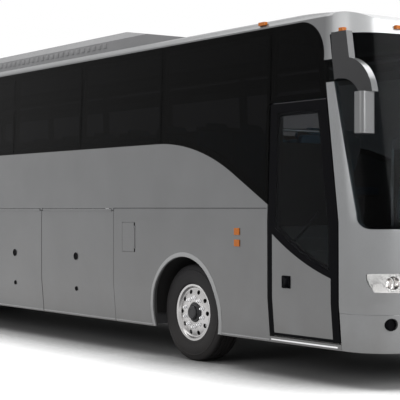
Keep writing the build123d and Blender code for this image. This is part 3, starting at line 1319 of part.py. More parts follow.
PIECES = {
    "right_side": right_wall.part,
    "left_side": mirrored(left_wall.part),
    "roof": roof.part,
    "front_panel": front_panel.part,
    "front_bumper": front_bumper.part,
    "windscreen": windscreen.part,
    "side_windows": side_windows.part,
    "window_frame": window_frame.part,
    "rear_panel": rear_panel.part,
    "rear_window": rear_window.part,
    "tail_lamps": tail_lamps.part,
    "air_conditioner": air_conditioner.part,
    "cabin_floor": cabin_floor.part,
    "stairwell": stairwell.part,
    "luggage_bays": luggage_bays.part,
    "wheel_housings": wheel_housings.part,
    "front_axle": front_axle.part,
    "drive_axle": drive_axle.part,
    "tag_axle": tag_axle.part,
    "engine": engine.part,
    "head_lamps": head_lamps.part,
    "lamp_housings": lamp_housings.part,
    "marker_lamps": marker_lamps.part,
    "mirrors": mirrors.part,
    "wipers": wipers.part,
    "dashboard": dashboard.part,
    "seats": seats.part,
    "luggage_racks": luggage_racks.part,
    "knuckle_left": knuckle_left.part,
    "knuckle_right": mirrored(knuckle_left.part),
    "tie_rod": tie_rod.part,
    "front_rim_left": front_rim.part,
    "front_rim_right": mirrored(front_rim.part),
    "front_tyre_left": front_tyre.part,
    "front_tyre_right": mirrored(front_tyre.part),
    "drive_rim_left": drive_rim.part,
    "drive_rim_right": mirrored(drive_rim.part),
    "drive_tyres_left": drive_tyres.part,
    "drive_tyres_right": mirrored(drive_tyres.part),
    "tag_rim_left": tag_rim,
    "tag_rim_right": mirrored(tag_rim),
    "tag_tyre_left": tag_tyre,
    "tag_tyre_right": mirrored(tag_tyre),
    "bay_door_right_front": bay_doors["front"],
    "bay_door_right_middle": bay_doors["middle"],
    "bay_door_right_rear": bay_doors["rear"],
    "bay_door_left_front": mirrored(bay_doors["front"]),
    "bay_door_left_middle": mirrored(bay_doors["middle"]),
    "bay_door_left_rear": mirrored(bay_doors["rear"]),
    "filler_flap": filler_flap.part,
    "engine_lid": engine_lid.part,
    "front_hatch": hatch_lids[0],
    "rear_hatch": hatch_lids[1],
    "door_leaf": door_leaf.part,
    "door_panel": door_panel.part,
    "door_glass": door_glass.part,
    "door_arms": door_arms.part,
}

for label, piece in PIECES.items():
    piece.label = label
    export_step(piece, f"parts/{label}.step")
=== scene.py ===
"""A three-axle touring coach: its paint, glass, wheels, lamps, trim and seats.

Metres, in the frame of the CAD: X forwards, Y to the left, Z up, the road at 0.
"""
import json
from math import atan2, cos, pi, radians, sin

import bpy
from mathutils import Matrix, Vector


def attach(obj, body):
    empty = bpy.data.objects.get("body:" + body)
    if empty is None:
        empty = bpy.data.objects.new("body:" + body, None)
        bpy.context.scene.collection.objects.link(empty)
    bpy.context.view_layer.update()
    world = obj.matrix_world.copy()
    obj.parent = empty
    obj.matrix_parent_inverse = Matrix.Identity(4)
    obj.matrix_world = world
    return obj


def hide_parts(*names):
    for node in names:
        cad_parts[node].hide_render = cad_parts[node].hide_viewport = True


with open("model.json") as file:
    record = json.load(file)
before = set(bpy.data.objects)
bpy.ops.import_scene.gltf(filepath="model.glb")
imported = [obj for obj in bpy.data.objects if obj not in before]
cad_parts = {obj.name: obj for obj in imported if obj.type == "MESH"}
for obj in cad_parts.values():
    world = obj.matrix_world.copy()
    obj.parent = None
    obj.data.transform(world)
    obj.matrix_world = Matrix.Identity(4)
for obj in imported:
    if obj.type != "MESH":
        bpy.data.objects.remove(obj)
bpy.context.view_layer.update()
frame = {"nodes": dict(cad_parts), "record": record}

BODY_OF = {node: body for body, nodes in frame["record"]["behaviour"]["bodies"].items() for node in nodes}

# Wheels and axles
WHEEL_Z = 0.515
FRONT_AXLE_X = 3.87
DRIVE_AXLE_X = -3.58
TAG_AXLE_X = -4.98
SINGLE_Y = 1.04
TWIN_Y = (1.09, 0.75)
ARCHES = (("front", FRONT_AXLE_X, 0.596), ("drive", DRIVE_AXLE_X, 0.592), ("tag", TAG_AXLE_X, 0.592))
HAND_HOLES = 10
HAND_HOLE_CIRCLE = 0.226
NUTS = 10
NUT_CIRCLE = 0.155

# Sides: low edge, the knee under which they narrow, and how far they still widen above it
SKIRT_Z = 0.33
KNEE_Z = 0.76
KNEE_Y = 1.298
LOW_SLOPE = 0.0837
WAIST_WIDENING = 0.002
WAIST_RISE = 0.74
WAIST_SEAM_Z = 1.6285
LOW_STRIP_Z = 0.350
LOCKS_X = (("front", 1.638), ("middle", 0.080), ("rear", -1.340))
LOCK_Z = 1.050
KEY_Z = 0.660

# Front and rear
TAIL_BANDS_Z = (1.17, 1.42)
MIRROR_FACE_X = 6.61
MIRROR_BACK_X = 6.65
MIRROR_ARM_X = 6.28
MIRROR_TOP_Z = 2.66
PROJECTOR_X = {0.770: 6.790, 0.910: 6.750, 1.050: 6.680}
PROJECTOR_Z = 0.955
PROJECTOR_RADIUS = 0.058
FOG_X = 6.745
FOG_Y = 1.066
FOG_Z = 0.590

# Roof
FANS_X = (1.35, 0.35, -0.65)
FAN_WELL_Z = 3.74
FAN_WELL_RADIUS = 0.34
FAN_HUB_Z = 3.69
GUARD_RING_Z = 3.722
GUARD_BAR_Z = 3.716
GUARD_RINGS = (0.32, 0.24, 0.16, 0.08)
GUARD_BARS = 6
UNIT_SIDE_Y = 0.9515
LOUVRES = 26
FIRST_LOUVRE_X = -1.55
LOUVRE_PITCH = 0.13
HATCH_TOP_Z = 3.58

# Cabin
SEAT_LEAN = -0.155
SEAT_ROWS = 14
SEAT_PITCH = 0.76
OTHER_SIDE = -1.42
BULKHEAD_X = (5.250, 5.270)

# Distance under which two corners of a mesh are one
SAME_CORNER = 0.00005


# Handling of pieces

def clear():
    """Nothing selected, in object mode."""
    if bpy.context.mode != "OBJECT":
        bpy.ops.object.mode_set(mode="OBJECT")
    bpy.ops.object.select_all(action="DESELECT")


def take(piece):
    """Only this piece selected, and active."""
    clear()
    piece.select_set(True)
    bpy.context.view_layer.objects.active = piece


def settle(piece, name=None):
    """The piece's place goes into its mesh, so that its object sits at the origin."""
    take(piece)
    bpy.ops.object.transform_apply(location=True, rotation=True, scale=True)
    if name:
        piece.name = name
    return piece


def block(name, low, high):
    """A block between two corners, as a start."""
    clear()
    centre = [(a + b) / 2 for a, b in zip(low, high)]
    bpy.ops.mesh.primitive_cube_add(size=1, location=centre, scale=[b - a for a, b in zip(low, high)])
    return settle(bpy.context.object, name)


TURNS = {"X": (0, pi / 2, 0), "Y": (pi / 2, 0, 0), "Z": (0, 0, 0)}


def drum(name, centre, radius, depth, along="Y", corners=32):
    """A cylinder along an axis, as a start."""
    clear()
    bpy.ops.mesh.primitive_cylinder_add(
        vertices=corners, radius=radius, depth=depth, location=centre, rotation=TURNS[along]
    )
    return settle(bpy.context.object, name)


def choose(piece, wanted):
    """Edit mode, with the faces selected whose middle and normal pass a test."""
    take(piece)
    bpy.ops.object.mode_set(mode="EDIT")
    bpy.ops.mesh.select_mode(type="FACE")
    bpy.ops.mesh.select_all(action="DESELECT")
    bpy.ops.object.mode_set(mode="OBJECT")
    for face in piece.data.polygons:
        face.select = bool(wanted(face.center, face.normal))
    bpy.ops.object.mode_set(mode="EDIT")


def tidy_faces(piece):
    """Doubles merged and faces turned outwards."""
    take(piece)
    bpy.ops.object.mode_set(mode="EDIT")
    bpy.ops.mesh.select_all(action="SELECT")
    bpy.ops.mesh.remove_doubles(threshold=SAME_CORNER)
    bpy.ops.mesh.normals_make_consistent(inside=False)
    bpy.ops.object.mode_set(mode="OBJECT")


def modify(piece, kind, **settings):
    """A modifier added and applied."""
    take(piece)
    modifier = piece.modifiers.new(kind, kind)
    for key, value in settings.items():
        setattr(modifier, key, value)
    bpy.ops.object.modifier_apply(modifier=modifier.name)
    return piece


def round_edges(piece, width, segments=2, angle=30):
    """Edges sharper than an angle are rounded."""
    return modify(
        piece, "BEVEL", width=width, segments=segments, limit_method="ANGLE", angle_limit=radians(angle)
    )


def smooth(piece, angle=35):
    """Shaded smooth but for the edges sharper than an angle."""
    take(piece)
    bpy.ops.object.shade_smooth_by_angle(angle=radians(angle))
    return piece


def path_of_corners(name, points):
    """A chain of edges through the points, drawn by extruding one corner after another."""
    clear()
    bpy.ops.mesh.primitive_plane_add(size=0.01, location=points[0])
    piece = settle(bpy.context.object, name)
    bpy.ops.object.mode_set(mode="EDIT")
    bpy.ops.mesh.select_mode(type="VERT")
    bpy.ops.mesh.merge(type="CENTER")
    for before, after in zip(points, points[1:]):
        step = [b - a for a, b in zip(before, after)]
        bpy.ops.mesh.extrude_region_move(TRANSFORM_OT_translate={"value": step})
    return piece


def lathe(name, outline, centre, along="Y", out=1, steps=64):
    """A piece turned about Y or X. Its outline gives radius and distance outwards, and closes on itself."""
    cx, cy, cz = centre
    if along == "Y":
        points = [(cx + r, cy + out * a, cz) for r, a in outline]
        axis = (0, 1, 0)
    else:
        points = [(cx + out * a, cy + r, cz) for r, a in outline]
        axis = (1, 0, 0)
    piece = path_of_corners(name, points + [points[0]])
    bpy.ops.mesh.select_all(action="SELECT")
    bpy.ops.mesh.spin(steps=steps, angle=2 * pi, center=centre, axis=axis)
    bpy.ops.object.mode_set(mode="OBJECT")
    tidy_faces(piece)
    return piece


def remove(piece):
    """Deletes a piece."""
    take(piece)
    bpy.ops.object.delete()


def copy_of(piece, name, move):
    """A moved copy with its own mesh."""
    take(piece)
    bpy.ops.object.duplicate()
    twin = bpy.context.object
    bpy.ops.object.mode_set(mode="EDIT")
    bpy.ops.mesh.select_all(action="SELECT")
    bpy.ops.transform.translate(value=move)
    bpy.ops.object.mode_set(mode="OBJECT")
    twin.name = name
    return twin


def joined(pieces, name):
    """The pieces as one."""
    clear()
    for piece in pieces:
        piece.select_set(True)
    bpy.context.view_layer.objects.active = pieces[0]
    bpy.ops.object.join()
    pieces[0].name = name
    return pieces[0]


def cut_away(piece, tools):
    """Takes the tools' shapes out of the piece, and removes the tools."""
    for tool in tools:
        modify(piece, "BOOLEAN", operation="DIFFERENCE", solver="EXACT", object=tool)
        remove(tool)
    return piece


def finished(piece, material, body, replaces=()):
    """Gives a piece its finish and the body that it rides, and hides the CAD nodes that it stands for."""
    piece.data.materials.clear()
    piece.data.materials.append(material)
    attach(piece, body)
    if replaces:
        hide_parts(*replaces)
    return piece


def skin(node, name, width=0.004, angle=35, segments=2):
    """A merged copy of a CAD piece, with its edges rounded and its curves smoothed."""
    clear()
    piece = bpy.data.objects.new(name, frame["nodes"][node].data.copy())
    bpy.context.collection.objects.link(piece)
    take(piece)
    bpy.ops.object.mode_set(mode="EDIT")
    bpy.ops.mesh.select_all(action="SELECT")
    bpy.ops.mesh.customdata_custom_splitnormals_clear()
    bpy.ops.mesh.remove_doubles(threshold=SAME_CORNER)
    bpy.ops.mesh.dissolve_limited(angle_limit=radians(0.6))
    bpy.ops.object.mode_set(mode="OBJECT")
    if width:
        round_edges(piece, width, segments, angle)
    smooth(piece, angle)
    return modify(piece, "WEIGHTED_NORMAL", keep_sharp=True)


def tube(name, points, radius, rings=3):
    """A round bar along the points."""
    piece = path_of_corners(name, points)
    bpy.ops.object.mode_set(mode="OBJECT")
    bpy.ops.object.convert(target="CURVE")
    bar = bpy.context.object
    bar.data.bevel_depth = radius
    bar.data.bevel_resolution = rings
    bar.data.use_fill_caps = True
    bpy.ops.object.convert(target="MESH")
    bar = bpy.context.object
    bar.name = name
    tidy_faces(bar)
    return smooth(bar, 40)


def soft_block(name, low, high, width, segments=3):
    """A block with rounded edges."""
    return smooth(round_edges(block(name, low, high), width, segments), 40)


def repaint(piece, material, wanted):
    """A second finish for the faces whose middle and normal pass a test."""
    piece.data.materials.append(material)
    choose(piece, wanted)
    piece.active_material_index = len(piece.data.materials) - 1
    bpy.ops.object.material_slot_assign()
    bpy.ops.object.mode_set(mode="OBJECT")
    return piece


def lean_in(piece):
    """Draws the low part of a piece in with the sides, which narrow below the knee of the body."""
    side = 1 if piece.data.vertices[0].co.y > 0 else -1
    bands, drop, step = 12, 0.036, 0.003
    for band in range(bands):
        take(piece)
        bpy.ops.object.mode_set(mode="EDIT")
        bpy.ops.mesh.select_mode(type="VERT")
        bpy.ops.mesh.select_all(action="DESELECT")
        bpy.ops.object.mode_set(mode="OBJECT")
        for corner in piece.data.vertices:
            corner.select = corner.co.z < KNEE_Z - band * drop
        bpy.ops.object.mode_set(mode="EDIT")
        bpy.ops.transform.translate(value=(0, -side * step, 0))
        bpy.ops.object.mode_set(mode="OBJECT")
    return piece


# Effects that several finishes share

def group_of(name, inputs, outputs):
    """An empty shader group with its sockets."""
    group = bpy.data.node_groups.new(name, "ShaderNodeTree")
    for label, kind, value in inputs:
        socket = group.interface.new_socket(name=label, in_out="INPUT", socket_type=kind)
        if value is not None:
            socket.default_value = value
    for label, kind in outputs:
        group.interface.new_socket(name=label, in_out="OUTPUT", socket_type=kind)
    return group, group.nodes.new("NodeGroupInput"), group.nodes.new("NodeGroupOutput")


def grain_group():
    """Fine unevenness of a moulded or painted surface."""
    group, given, made = group_of(
        "Surface grain",
        [("Vector", "NodeSocketVector", None), ("Scale", "NodeSocketFloat", 200.0)],
        [("Fine", "NodeSocketFloat"), ("Broad", "NodeSocketFloat")],
    )
    fine = group.nodes.new("ShaderNodeTexNoise")
    fine.inputs["Detail"].default_value = 3
    broad = group.nodes.new("ShaderNodeTexNoise")
    broad.inputs["Scale"].default_value = 1.7
    broad.inputs["Detail"].default_value = 4
    group.links.new(given.outputs["Vector"], fine.inputs["Vector"])
    group.links.new(given.outputs["Scale"], fine.inputs["Scale"])
    group.links.new(given.outputs["Vector"], broad.inputs["Vector"])
    group.links.new(fine.outputs["Fac"], made.inputs["Fine"])
    group.links.new(broad.outputs["Fac"], made.inputs["Broad"])
    return group


def film_and_shade_group():
    """Darkening low on the body: thin road film, and on the front paint painted shade from the darker ground.
    A mask from 0 to 1 by height, broken up by noise.
    """
    group, given, made = group_of(
        "Road film and low shade",
        [
            ("Vector", "NodeSocketVector", None),
            ("Top", "NodeSocketFloat", 1.2),
            ("Amount", "NodeSocketFloat", 0.3),
            ("Clean", "NodeSocketColor", None),
            ("Film and shade", "NodeSocketColor", (0.09, 0.08, 0.07, 1)),
        ],
        [("Color", "NodeSocketColor"), ("Mask", "NodeSocketFloat")],
    )
    split = group.nodes.new("ShaderNodeSeparateXYZ")
    fall = group.nodes.new("ShaderNodeMapRange")
    fall.inputs["From Min"].default_value = 0.3
    fall.inputs["To Min"].default_value = 1
    fall.inputs["To Max"].default_value = 0
    noise = group.nodes.new("ShaderNodeTexNoise")
    noise.inputs["Scale"].default_value = 3.5
    noise.inputs["Detail"].default_value = 6
    times = group.nodes.new("ShaderNodeMath")
    times.operation = "MULTIPLY"
    scaled = group.nodes.new("ShaderNodeMath")
    scaled.operation = "MULTIPLY"
    blend = group.nodes.new("ShaderNodeMix")
    blend.data_type = "RGBA"
    group.links.new(given.outputs["Vector"], split.inputs[0])
    group.links.new(given.outputs["Vector"], noise.inputs["Vector"])
    group.links.new(split.outputs["Z"], fall.inputs["Value"])
    group.links.new(given.outputs["Top"], fall.inputs["From Max"])
    group.links.new(fall.outputs["Result"], times.inputs[0])
    group.links.new(noise.outputs["Fac"], times.inputs[1])
    group.links.new(times.outputs[0], scaled.inputs[0])
    group.links.new(given.outputs["Amount"], scaled.inputs[1])
    group.links.new(scaled.outputs[0], blend.inputs["Factor"])
    group.links.new(given.outputs["Clean"], blend.inputs["A"])
    group.links.new(given.outputs["Film and shade"], blend.inputs["B"])
    group.links.new(blend.outputs["Result"], made.inputs["Color"])
    group.links.new(scaled.outputs[0], made.inputs["Mask"])
    return group


def weave_group():
    """Crossed threads of a woven cover."""
    group, given, made = group_of(
        "Weave",
        [("Vector", "NodeSocketVector", None), ("Threads", "NodeSocketFloat", 260.0)],
        [("Height", "NodeSocketFloat")],
    )
    waves = []
    for direction in ("X", "Z"):
        wave = group.nodes.new("ShaderNodeTexWave")
        wave.bands_direction = direction
        wave.inputs["Distortion"].default_value = 0.6
        group.links.new(given.outputs["Vector"], wave.inputs["Vector"])
        group.links.new(given.outputs["Threads"], wave.inputs["Scale"])
        waves.append(wave)
    mix = group.nodes.new("ShaderNodeMath")
    mix.operation = "MULTIPLY"
    group.links.new(waves[0].outputs["Fac"], mix.inputs[0])
    group.links.new(waves[1].outputs["Fac"], mix.inputs[1])
    group.links.new(mix.outputs[0], made.inputs["Height"])
    return group


GRAIN = grain_group()
FILM_AND_SHADE = film_and_shade_group()
WEAVE = weave_group()


def finish_of(name, colour, rough, metal=0.0, grain=(300, 0.0), film_and_shade=(1.2, 0.0), spread=0.04, coat=0.0,
              gloss=0.5, glow=None, threads=None, front_highlight=None):
    """A finish with fine grain, a broad change of tone, and a darkening low down for road film, which on the
    front paint is painted shade.

    grain is scale and depth, film_and_shade is top height and amount of that darkening, spread is the change
    of roughness.
    glow is colour and strength, threads is the scale of a weave.
    front_highlight is a painted highlight: where along X a lighter colour begins, where it is full, and that
    colour.
    """
    material = bpy.data.materials.new(name)
    material.use_nodes = True
    nodes, links = material.node_tree.nodes, material.node_tree.links
    shader = nodes["Principled BSDF"]
    place = nodes.new("ShaderNodeTexCoord")
    grains = nodes.new("ShaderNodeGroup")
    grains.node_tree = GRAIN
    grains.inputs["Scale"].default_value = grain[0]
    links.new(place.outputs["Object"], grains.inputs["Vector"])
    tone = nodes.new("ShaderNodeValToRGB")
    tone.color_ramp.elements[0].position = 0.3
    tone.color_ramp.elements[1].position = 0.7
    tone.color_ramp.elements[0].color = (*[c * 0.93 for c in colour], 1)
    tone.color_ramp.elements[1].color = (*[min(1, c * 1.05) for c in colour], 1)
    links.new(grains.outputs["Broad"], tone.inputs["Fac"])
    film_and_shade_node = nodes.new("ShaderNodeGroup")
    film_and_shade_node.node_tree = FILM_AND_SHADE
    film_and_shade_node.inputs["Top"].default_value = film_and_shade[0]
    film_and_shade_node.inputs["Amount"].default_value = film_and_shade[1]
    links.new(place.outputs["Object"], film_and_shade_node.inputs["Vector"])
    links.new(tone.outputs["Color"], film_and_shade_node.inputs["Clean"])
    # Painted highlight: the colour turns lighter towards the front, where the header faces the light.
    if front_highlight:
        lengthwise = nodes.new("ShaderNodeSeparateXYZ")
        reach = nodes.new("ShaderNodeMapRange")
        reach.inputs["From Min"].default_value = front_highlight[0]
        reach.inputs["From Max"].default_value = front_highlight[1]
        change = nodes.new("ShaderNodeMix")
        change.data_type = "RGBA"
        change.inputs["B"].default_value = (*front_highlight[2], 1)
        links.new(place.outputs["Object"], lengthwise.inputs[0])
        links.new(lengthwise.outputs["X"], reach.inputs["Value"])
        links.new(reach.outputs["Result"], change.inputs["Factor"])
        links.new(tone.outputs["Color"], change.inputs["A"])
        links.new(change.outputs["Result"], film_and_shade_node.inputs["Clean"])
    links.new(film_and_shade_node.outputs["Color"], shader.inputs["Base Color"])
    roughness = nodes.new("ShaderNodeMapRange")
    roughness.inputs["To Min"].default_value = max(0.02, rough - spread)
    roughness.inputs["To Max"].default_value = min(1, rough + spread)
    links.new(grains.outputs["Fine"], roughness.inputs["Value"])
    links.new(roughness.outputs["Result"], shader.inputs["Roughness"])
    shader.inputs["Metallic"].default_value = metal
    shader.inputs["Coat Weight"].default_value = coat
    shader.inputs["Coat Roughness"].default_value = 0.06
    shader.inputs["Specular IOR Level"].default_value = gloss
    if grain[1] or threads:
        bump = nodes.new("ShaderNodeBump")
        bump.inputs["Strength"].default_value = grain[1] or 0.4
        bump.inputs["Distance"].default_value = 0.001
        if threads:
            weave = nodes.new("ShaderNodeGroup")
            weave.node_tree = WEAVE
            weave.inputs["Threads"].default_value = threads
            links.new(place.outputs["Object"], weave.inputs["Vector"])
            links.new(weave.outputs["Height"], bump.inputs["Height"])
        else:
            links.new(grains.outputs["Fine"], bump.inputs["Height"])
        links.new(bump.outputs["Normal"], shader.inputs["Normal"])
    if glow:
        shader.inputs["Emission Color"].default_value = (*glow[0], 1)
        shader.inputs["Emission Strength"].default_value = glow[1]
    return material


def glass_of(name, tint, rough=0.02, gloss=0.5):
    """Tinted glass that light from outside can pass: its shadow is as clear as its tint."""
    material = finish_of(name, tint, rough, grain=(3, 0.0), spread=0.01, gloss=gloss)
    nodes, links = material.node_tree.nodes, material.node_tree.links
    shader = nodes["Principled BSDF"]
    shader.inputs["Transmission Weight"].default_value = 1.0
    shader.inputs["IOR"].default_value = 1.10
    light_path = nodes.new("ShaderNodeLightPath")
    clear_shadow = nodes.new("ShaderNodeBsdfTransparent")
    clear_shadow.inputs["Color"].default_value = (*tint, 1)
    pick = nodes.new("ShaderNodeMixShader")
    links.new(light_path.outputs["Is Shadow Ray"], pick.inputs["Fac"])
    links.new(shader.outputs["BSDF"], pick.inputs[1])
    links.new(clear_shadow.outputs["BSDF"], pick.inputs[2])
    links.new(pick.outputs["Shader"], nodes["Material Output"].inputs["Surface"])
    return material


# Paint and trim
SIDE_PAINT = finish_of("Side paint", (0.150, 0.152, 0.155), 0.30, metal=0.45, grain=(900, 0.02),
                       film_and_shade=(1.6, 0.5), coat=0.2)
# Painted light: the front is the sides' silver made lighter, as lit from the front, and its darkening low
# down is painted shade from the darker ground.
LIT_FRONT_PAINT = finish_of("Front paint painted lit", (0.235, 0.240, 0.245), 0.28, metal=0.4, grain=(900, 0.02),
                        film_and_shade=(1.5, 0.60), coat=0.2)
# The roof's front turns near white at the header: a painted highlight.
ROOF_PAINT_WITH_HIGHLIGHT = finish_of("Roof paint with painted highlight", (0.150, 0.152, 0.155), 0.32, metal=0.4, grain=(900, 0.02), coat=0.1,
                       front_highlight=(6.05, 6.3, (0.44, 0.445, 0.45)))
UNIT_PAINT = finish_of("Roof unit paint", (0.22, 0.22, 0.225), 0.45, grain=(700, 0.15), gloss=0.3)
# Lighter than the side paint, as a painted highlight along the arch lips and low strips.
LIP_PAINT_HIGHLIT = finish_of("Arch lip paint, painted highlight", (0.32, 0.322, 0.325), 0.35, metal=0.3, grain=(900, 0.02),
                      film_and_shade=(1.2, 0.2))
SEAM_AND_SHADE = finish_of("Seam filler and painted shade", (0.06, 0.06, 0.062), 0.6, grain=(500, 0.1), gloss=0.1)
BLACK_TRIM = finish_of("Black trim", (0.004, 0.004, 0.005), 0.38, grain=(500, 0.15), gloss=0.02)
# Soft and rolling pieces, wheels and bright metal
RUBBER = finish_of("Rubber", (0.008, 0.008, 0.009), 0.7, grain=(350, 0.3), gloss=0.05)
TYRE = finish_of("Tyre rubber", (0.013, 0.0125, 0.014), 0.62, grain=(260, 0.5), film_and_shade=(1.1, 0.25), gloss=0.2)
WHEEL = finish_of("Polished wheel", (0.42, 0.412, 0.41), 0.22, metal=1.0, grain=(40, 0.03), spread=0.05)
HUB = finish_of("Hub steel", (0.02, 0.02, 0.022), 0.4, metal=0.4, grain=(200, 0.1))
BRIGHT = finish_of("Bright trim", (0.75, 0.75, 0.76), 0.12, metal=1.0, grain=(100, 0.02))
# Underneath and inside
CHASSIS = finish_of("Chassis paint", (0.018, 0.018, 0.019), 0.6, grain=(120, 0.3), film_and_shade=(1.5, 0.35),
                    gloss=0.3)
CASTING = finish_of("Cast iron", (0.05, 0.048, 0.046), 0.65, metal=0.5, grain=(150, 0.4), film_and_shade=(1.2, 0.3))
FLOOR = finish_of("Floor covering", (0.05, 0.052, 0.058), 0.8, grain=(400, 0.4))
LINING = finish_of("Bay lining", (0.12, 0.12, 0.125), 0.85, grain=(600, 0.5))
CABIN = finish_of("Cabin plastic", (0.16, 0.16, 0.165), 0.6, grain=(700, 0.25))
DASH = finish_of("Dashboard plastic", (0.03, 0.03, 0.033), 0.55, grain=(700, 0.3))
PANEL = finish_of("Stair panel", (0.78, 0.77, 0.75), 0.5, grain=(500, 0.15))
FABRIC = finish_of("Woven cover", (0.03, 0.10, 0.17), 0.9, threads=240)
# Lamps, glass and mirrors
AMBER = finish_of("Amber lens", (0.45, 0.12, 0.006), 0.25, grain=(60, 0.02), gloss=0.3,
                  glow=((0.9, 0.25, 0.01), 0.06))
RED = finish_of("Red lens", (0.45, 0.01, 0.01), 0.18, grain=(60, 0.02), gloss=0.5)
CLEAR = glass_of("Lamp lens", (0.92, 0.93, 0.93), 0.03)
REFLECTOR = finish_of("Lamp reflector", (0.82, 0.80, 0.79), 0.14, metal=1.0, grain=(30, 0.02))
SIDE_GLASS = glass_of("Tinted glass", (0.05, 0.05, 0.053), 0.03, gloss=0.02)
SCREEN_GLASS = glass_of("Windscreen glass", (0.13, 0.15, 0.16), 0.02, gloss=0.03)
DOOR_GLASS = glass_of("Door glass", (0.62, 0.64, 0.65), 0.02, gloss=0.02)
MIRROR = finish_of("Mirror glass", (0.86, 0.87, 0.88), 0.03, metal=1.0, spread=0.01)


# Camera, at the photograph's place

VIEW_FROM = Vector((14.758, -9.047, 1.63))
VIEW_PITCH = radians(0.365)
VIEW_ALONG = Vector((-0.8070, 0.5906, 0)).normalized() * cos(VIEW_PITCH) + Vector((0, 0, sin(VIEW_PITCH)))

clear()
bpy.ops.object.camera_add(location=VIEW_FROM)
camera = bpy.context.object
camera.data.lens = 113.13
camera.data.sensor_width = 36
camera.data.clip_end = 400
camera.rotation_euler = VIEW_ALONG.to_track_quat("-Z", "Y").to_euler()
bpy.context.scene.camera = camera
bpy.context.scene.view_settings.view_transform = "Standard"


# Floor, sky and lamps

def seen_or_mirrored(tree):
    """1 for what the camera sees directly, in a reflection or through glass."""
    path = tree.nodes.new("ShaderNodeLightPath")
    first = tree.nodes.new("ShaderNodeMath")
    first.operation = "MAXIMUM"
    second = tree.nodes.new("ShaderNodeMath")
    second.operation = "MAXIMUM"
    tree.links.new(path.outputs["Is Camera Ray"], first.inputs[0])
    tree.links.new(path.outputs["Is Glossy Ray"], first.inputs[1])
    tree.links.new(first.outputs[0], second.inputs[0])
    tree.links.new(path.outputs["Is Transmission Ray"], second.inputs[1])
    return second.outputs[0]


# A white sky that lights the coach less than it shows
world = bpy.data.worlds.new("Studio")
bpy.context.scene.world = world
world.use_nodes = True
sky = world.node_tree.nodes["Background"]
level = world.node_tree.nodes.new("ShaderNodeMapRange")
level.inputs["To Min"].default_value = 0.55
level.inputs["To Max"].default_value = 1.0
world.node_tree.links.new(seen_or_mirrored(world.node_tree), level.inputs["Value"])
world.node_tree.links.new(level.outputs["Result"], sky.inputs["Strength"])
sky.inputs["Color"].default_value = (1, 1, 1, 1)

# A floor as white as the sky where it is open, with a painted shadow under and beside the coach: its glow
# fades where ambient occlusion closes in
clear()
bpy.ops.mesh.primitive_plane_add(size=240, location=(0, 0, 0))
floor = settle(bpy.context.object, "studio_floor")
floor_finish = bpy.data.materials.new("Studio floor")
floor_finish.use_nodes = True
floor_nodes, floor_links = floor_finish.node_tree.nodes, floor_finish.node_tree.links
floor_shader = floor_nodes["Principled BSDF"]
floor_shader.inputs["Base Color"].default_value = (0.30, 0.30, 0.30, 1)
floor_shader.inputs["Roughness"].default_value = 1
floor_shader.inputs["Specular IOR Level"].default_value = 0
openness = floor_nodes.new("ShaderNodeAmbientOcclusion")
openness.inputs["Distance"].default_value = 1.6
openness.samples = 8
lit = floor_nodes.new("ShaderNodeMapRange")
lit.interpolation_type = "SMOOTHSTEP"
lit.inputs["From Min"].default_value = 0.52
lit.inputs["From Max"].default_value = 0.95
lit.inputs["To Max"].default_value = 1.0
seen = floor_nodes.new("ShaderNodeMath")
seen.operation = "MULTIPLY"
floor_links.new(openness.outputs["AO"], lit.inputs["Value"])
floor_links.new(lit.outputs["Result"], seen.inputs[0])
floor_links.new(seen_or_mirrored(floor_finish.node_tree), seen.inputs[1])
floor_shader.inputs["Emission Color"].default_value = (1, 1, 1, 1)
floor_links.new(seen.outputs[0], floor_shader.inputs["Emission Strength"])
floor.data.materials.append(floor_finish)


def lamp(name, place, aim, size, power):
    """A soft square lamp that looks at a point."""
    clear()
    bpy.ops.object.light_add(type="AREA", location=place)
    light = bpy.context.object
    light.name = name
    light.data.shape = "RECTANGLE"
    light.data.size, light.data.size_y = size
    light.data.energy = power
    light.rotation_euler = (Vector(aim) - Vector(place)).to_track_quat("-Z", "Y").to_euler()


lamp("overhead_lamp", (1, -2, 11), (0, 0, 1), (16, 8), 900)
lamp("front_lamp", (17, 2, 6), (6, 0, 1.5), (8, 6), 900)
lamp("side_lamp", (4, -15, 6), (0, 0, 1.5), (14, 5), 450)
lamp("header_lamp", (7.2, 3.6, 9), (6.3, -0.3, 3.3), (5, 4), 350)


# CAD pieces that stay, with their finishes

KEPT = (
    ("cabin_floor", FLOOR),
    ("luggage_bays", LINING),
    ("wheel_housings", CHASSIS),
    ("front_axle", CHASSIS),
    ("drive_axle", CHASSIS),
    ("tag_axle", CHASSIS),
    ("engine", CASTING),
    ("knuckle_left", CASTING),
    ("knuckle_right", CASTING),
    ("tie_rod", CASTING),
    ("window_frame", BLACK_TRIM),
    ("door_arms", BRIGHT),
)
for node, material in KEPT:
    mesh = frame["nodes"][node].data
    mesh.materials.clear()
    mesh.materials.append(material)

